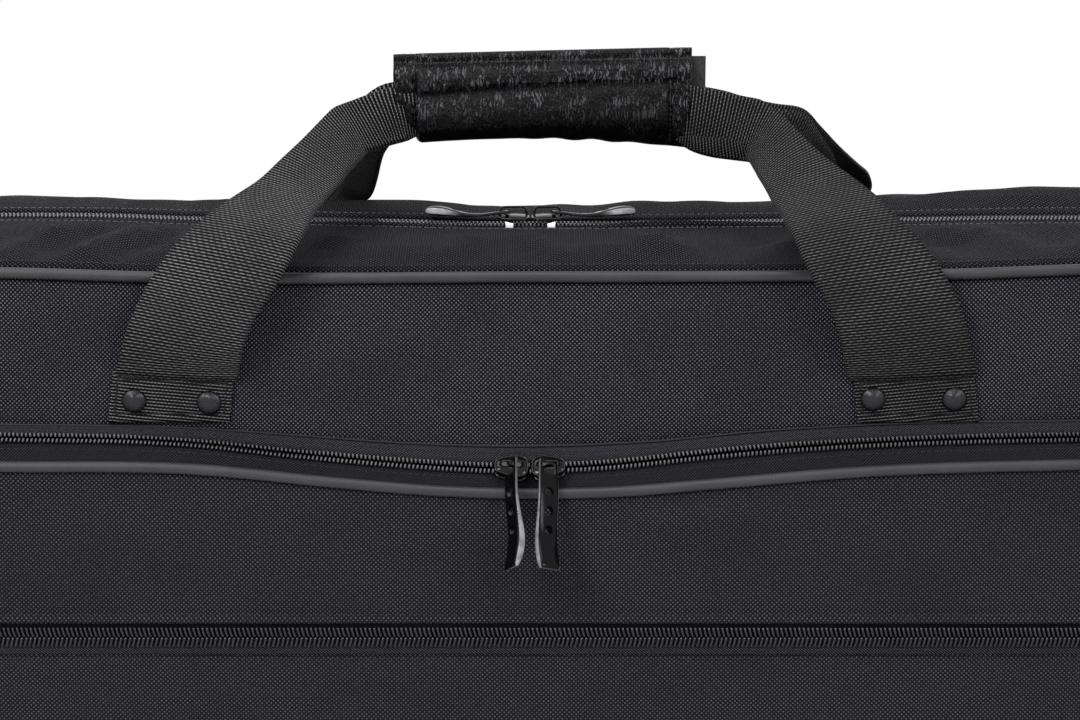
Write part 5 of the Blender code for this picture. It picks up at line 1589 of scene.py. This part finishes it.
def closure_tape(name, side, x_low, x_high, z_low, z_high, body, material, replaces):
    """A strip of hook or loop tape inside the flange."""
    xs, zs = np.linspace(x_low, x_high, 60), np.linspace(z_low, z_high, 10)
    z, x = np.meshgrid(zs, xs, indexing="ij")
    edge = np.clip(np.minimum(np.minimum(z - z_low, z_high - z), np.minimum(x - x_low, x_high - x)), 0, 0.5)
    full = 0.4 + 0.6 * rounded(edge, 0.5)
    fuzz = 0.08 * ripple(x, z, 111, 2.5)
    outer = xyz(x, side * (0.75 + (0.5 + fuzz) * full), z)
    inner = xyz(x, side * (0.75 - 0.55 * full), z)
    obj = shell(name, outer, inner, material, np.stack([x, z], -1))
    finish_piece(obj, body, replaces)


closure_tape("hook_strip", 1, -61, 68.6, 464.2, 481.6, "rear_handle", HOOK, ("wrap_hook_tape",))
closure_tape("loop_strip", -1, -60.5, 61, 474.6, 482.6, "wrap_flap", LOOP, ("wrap_loop_tape",))

# Metal parts


for node in ("left_zip_stop", "right_zip_stop"):
    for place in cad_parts[node].material_slots:
        place.material = BLACK_METAL

# How far the front rivets sit off the CAD's in the photo: across and up.
STUD_SHIFT = {
    ("left", True): (0, -1.5), ("left", False): (-1.6, -2.2),
    ("right", False): (-0.4, -0.8), ("right", True): (0.6, -0.8),
}
# A rivet head's radius and height from rim to crown.
STUD_PROFILE = rows(
    (4.6, -0.2), (5.05, 0.15), (5.0, 0.55), (4.6, 1.15), (3.8, 1.8), (2.7, 2.3), (1.4, 2.55), (0.25, 2.6),
)


def stud(node):
    """A domed rivet head, turned on a lathe."""
    half_name, hand, _, letter = node.split("_")
    side = -1 if half_name == "front" else 1
    corners = [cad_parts[node].matrix_world @ Vector(c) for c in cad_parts[node].bound_box]
    centre = [sum(c[k] for c in corners) / 8 / MM for k in (0, 2)]
    if side < 0:
        shift = STUD_SHIFT[hand, abs(centre[0]) > PATCH_X]
        centre = [centre[0] + shift[0], centre[1] + shift[1]]
    turn = np.linspace(0, 2 * pi, 40, endpoint=False)
    loops = []
    for r, h in curve(STUD_PROFILE, 22):
        loops.append([(centre[0] + r * cos(t), side * (81.0 + h), centre[1] + r * sin(t)) for t in turn])
    obj = swept_solid(f"{half_name}_{hand}_stud_{letter}", loops, GUNMETAL)
    finish_piece(obj, "cover" if side < 0 else "tray", (node,))


for half_name in ("front", "rear"):
    for hand in ("left", "right"):
        for letter in "ab":
            stud(f"{half_name}_{hand}_rivet_{letter}")


def joined(name, pieces):
    """Several closed shapes as one object."""
    bm = bmesh.new()
    for piece in pieces:
        bm.from_mesh(piece.data)
    first = pieces[0]
    first.name = name
    bm.to_mesh(first.data)
    bm.free()
    for piece in pieces[1:]:
        bpy.data.objects.remove(piece)
    first.data.shade_smooth()
    first.data.set_sharp_from_angle(angle=radians(50))
    return first


# The slider's outline in its plane: a rounded shield, narrower at its rear.
SHIELD = rows((7, 0), (6.8, 2.6), (5.4, 4.3), (2.6, 4.9), (-1.5, 4.4), (-4.5, 3.4), (-6.5, 2.6), (-7, 1.2))
SHIELD = curve(np.concatenate([SHIELD, SHIELD[:0:-1] * (1, -1)]), 44, closed=True)
# The slider's upper and lower plates, and its post: (share, height), and (half width, depth share, height).
UPPER_PLATE = ((0.86, 1.2), (0.98, 1.4), (1.0, 1.9), (0.96, 2.4), (0.8, 2.9), (0.5, 3.3), (0.15, 3.4))
LOWER_PLATE = ((0.8, -2.7), (0.97, -2.5), (1.0, -2.0), (0.96, -1.4), (0.86, -1.2))
POST = ((1.3, 0.98, -1.7), (1.6, 1.06, -1.5), (1.6, 0.76, 1.2), (1.4, 0.68, 1.45))


def slider(name, node, body, centre, along, up, bail, post, reach=1.0, back=0.0):
    """A glossy zip slider: two rounded plates, a post, a raised rim and a wire bail."""
    along, up = np.array(along, float), np.array(up, float)
    across = np.cross(up, along)

    def spot(p):
        return np.asarray(centre) + p[..., :1] * along + p[..., 1:2] * across + p[..., 2:] * up

    def level(outline, height):
        return spot(np.column_stack([outline, np.full(len(outline), height)]))

    parts = []
    for plate in (UPPER_PLATE, LOWER_PLATE):
        parts.append(swept_solid("plate", [level(SHIELD * share, h) for share, h in plate], BLACK_METAL))
    parts.append(tube("rim", level(SHIELD * 0.93, 2.35), 0.42, BLACK_METAL, sides=8, closed=True, up=up))
    arch = ((4.6, 2.2), (4.3, bail - 1.2), (3.3, bail - 0.1), (0, bail))
    arch = rows(*[(-x, 0, h) for x, h in arch], *[(x, 0, h) for x, h in arch[-2::-1]])
    arch = curve(arch, 40) * (reach, 1, 1)
    parts.append(tube("bail", spot(arch), 0.48, BLACK_METAL, sides=10, up=across))
    finish_piece(joined(name, parts), body, (node,))
    levels = []
    for wide, deep, h in POST:
        block = rows((-wide, -deep), (wide, -deep), (wide, deep), (-wide, deep)) * (1, post) - (back, 0)
        levels.append(level(block, h))
    finish_piece(swept_solid(name + "_post", levels, BRIGHT_METAL), body)


def cut(obj, cutters):
    """Take some closed shapes away from a piece, for good."""
    for cutter in cutters:
        tool = obj.modifiers.new("cut", "BOOLEAN")
        tool.operation = "DIFFERENCE"
        tool.solver = "EXACT"
        tool.object = cutter
    mesh = applied(obj)
    for cutter in cutters:
        bpy.data.objects.remove(cutter)
    mesh.shade_smooth()
    mesh.set_sharp_from_angle(angle=radians(40))


# A pull's shape along its length: place, rise off its plane, width and thickness.
HANGING = rows(
    (-0.65, 0, 7.4, 1.3), (0.6, 0, 8.2, 1.5), (6, 0.1, 8.6, 1.6), (12, 0.3, 8.9, 1.7), (18, 1.0, 9, 2.0),
    (24, 2.2, 9.1, 2.7),
    (30, 3.3, 9.3, 3.7), (35, 3.6, 9.4, 4.3), (40, 3.0, 9.4, 4.2), (43.5, 2.2, 9.2, 3.4),
    (45.2, 1.8, 8.8, 2.2), (45.6, 1.75, 8.2, 1.2),
)
LYING = rows(
    (-0.65, 0, 7.4, 1.3), (0.6, 0, 8.2, 1.4), (4, -0.5, 8.6, 1.4), (8, -1.2, 8.8, 1.4), (13, -1.7, 8.9, 1.5),
    (18, -1.7, 9, 2.0),
    (22, -1.3, 9, 2.8), (26, -0.8, 9, 3.6), (29.5, -0.5, 8.8, 4.1), (32.5, -0.5, 8.2, 3.9),
    (34.3, -0.6, 7.2, 2.9), (35, -0.7, 5.8, 1.5),
)


# The pull's three holes, and the window that the slider's bail goes through.
HOLES, HOLE_R = (13.4, 21.2, 29.0), 1.9
WINDOW = ((0.7, -2.3), (1.2, -2.9), (5.2, -2.9), (5.7, -2.4), (5.7, 2.4), (5.2, 2.9), (1.2, 2.9), (0.7, 2.3))


def pull(name, node, body, place, along, outward, shape, back, bend):
    """A zip pull: a loop for the bridge, three holes and a thick bent end with rounded sides."""
    along = np.array(along, float) / np.linalg.norm(along)
    across = np.cross(outward, along)
    across /= np.linalg.norm(across)
    outward = np.cross(along, across)
    form = curve(shape, 60)
    turn = np.linspace(0, 2 * pi, 28, endpoint=False)
    origin = np.array(place, float)

    def spot(x, y, z):
        return origin + (x - back) * along + y * across + z * outward

    def square(a):
        return np.sign(a) * np.abs(a) ** 0.55

    loops = []
    for x, rise, wide, thick in form:
        middle = bend * rise
        loops.append([spot(x, wide / 2 * square(cos(t)), middle + thick / 2 * square(sin(t))) for t in turn])
    uv = pairs(form[:, 0], 10 * np.abs(np.cos(np.append(turn, 0))))
    obj = swept_solid(name, loops, LYING_PAINT if shape is LYING else PULL_PAINT, uv=uv)
    share = shape[-1, 0] / HANGING[-1, 0]
    hole = np.linspace(0, 2 * pi, 24, endpoint=False)
    cutters = []
    for x in HOLES:
        x = x * share
        walls = [[spot(x + HOLE_R * cos(t), HOLE_R * sin(t), h) for t in hole] for h in (-9, 9)]
        cutters.append(swept_solid("cutter", walls, BLACK_METAL))
    window = [[spot(a, b, h) for a, b in WINDOW] for h in (-4, 4)]
    cutters.append(swept_solid("cutter", window, BLACK_METAL))
    cut(obj, cutters)
    finish_piece(obj, body, (node,))


JOINT_AT = {
    "left_main": (-15.55, 0, 417.4), "right_main": (4.55, 0, 417.4),
    "left_pocket": (-12.8843, -92.2273, 332.4006), "right_pocket": (1.8843, -92.2273, 332.4006),
    "flat": (351, -102.4855, 257.3),
}


def fasten(label, place, along, outward, shape, back, bend, centre, run, up, bail, post, reach=1.0, gap=0.0):
    """The pull and the slider of one zip."""
    pull(f"{label}_tab", f"{label}_pull", f"{label}_pull_body", place, along, outward, shape, back, bend)
    slider(
        f"{label}_runner", f"{label}_slider", f"{label}_slider_body",
        centre, run, up, bail, post, reach, gap,
    )


def add_pulls():
    """All five zips' sliders and pulls."""
    yaw = radians(10)
    for hand, side in (("left", -1), ("right", 1)):
        place = np.array(JOINT_AT[f"{hand}_main"]) - (0, 0, 3.0)
        outward = (side * cos(yaw), sin(yaw), 0)
        centre = (place[0] - side * 2.7, 0, 409.9)
        fasten(
            f"{hand}_main", place, outward, (0, 0.2, 1), LYING, 0, 1,
            centre, (-side, 0, 0), (0, 0, 1), 6.8, 4.8, 1.25, 1.6,
        )
    rise, slope, droop = np.arctan(0.0375), radians(42), radians(8)
    for hand, side, twist in (("left", -1, -60), ("right", 1, 30)):
        run = np.array((side * cos(rise), 0, sin(rise)))
        facing = np.cross((0, -cos(slope), -sin(slope)), run) * side
        facing /= np.linalg.norm(facing)
        right = run * side
        down = np.cross(right, facing)
        down /= np.linalg.norm(down)
        axis = down * cos(droop) - facing * sin(droop)
        turned = np.cross(axis, right) * cos(radians(twist)) + right * sin(radians(twist))
        place = np.array(JOINT_AT[f"{hand}_pocket"]) + 1.2 * np.array((0, -cos(slope), -sin(slope)))
        fasten(
            f"{hand}_pocket", place, axis, turned, HANGING, 0.4, -1,
            place - 5.2 * facing, -run, facing, 6.0, 3.2,
        )
    twist = radians(34)
    fasten(
        "flat", JOINT_AT["flat"], (0, 0, -1), (sin(twist), -cos(twist), 0), HANGING, 1.2, 1,
        (351, -97.2, 257.3), (1, 0, 0), (0, -1, 0), 6.0, 3.2,
    )


add_pulls()
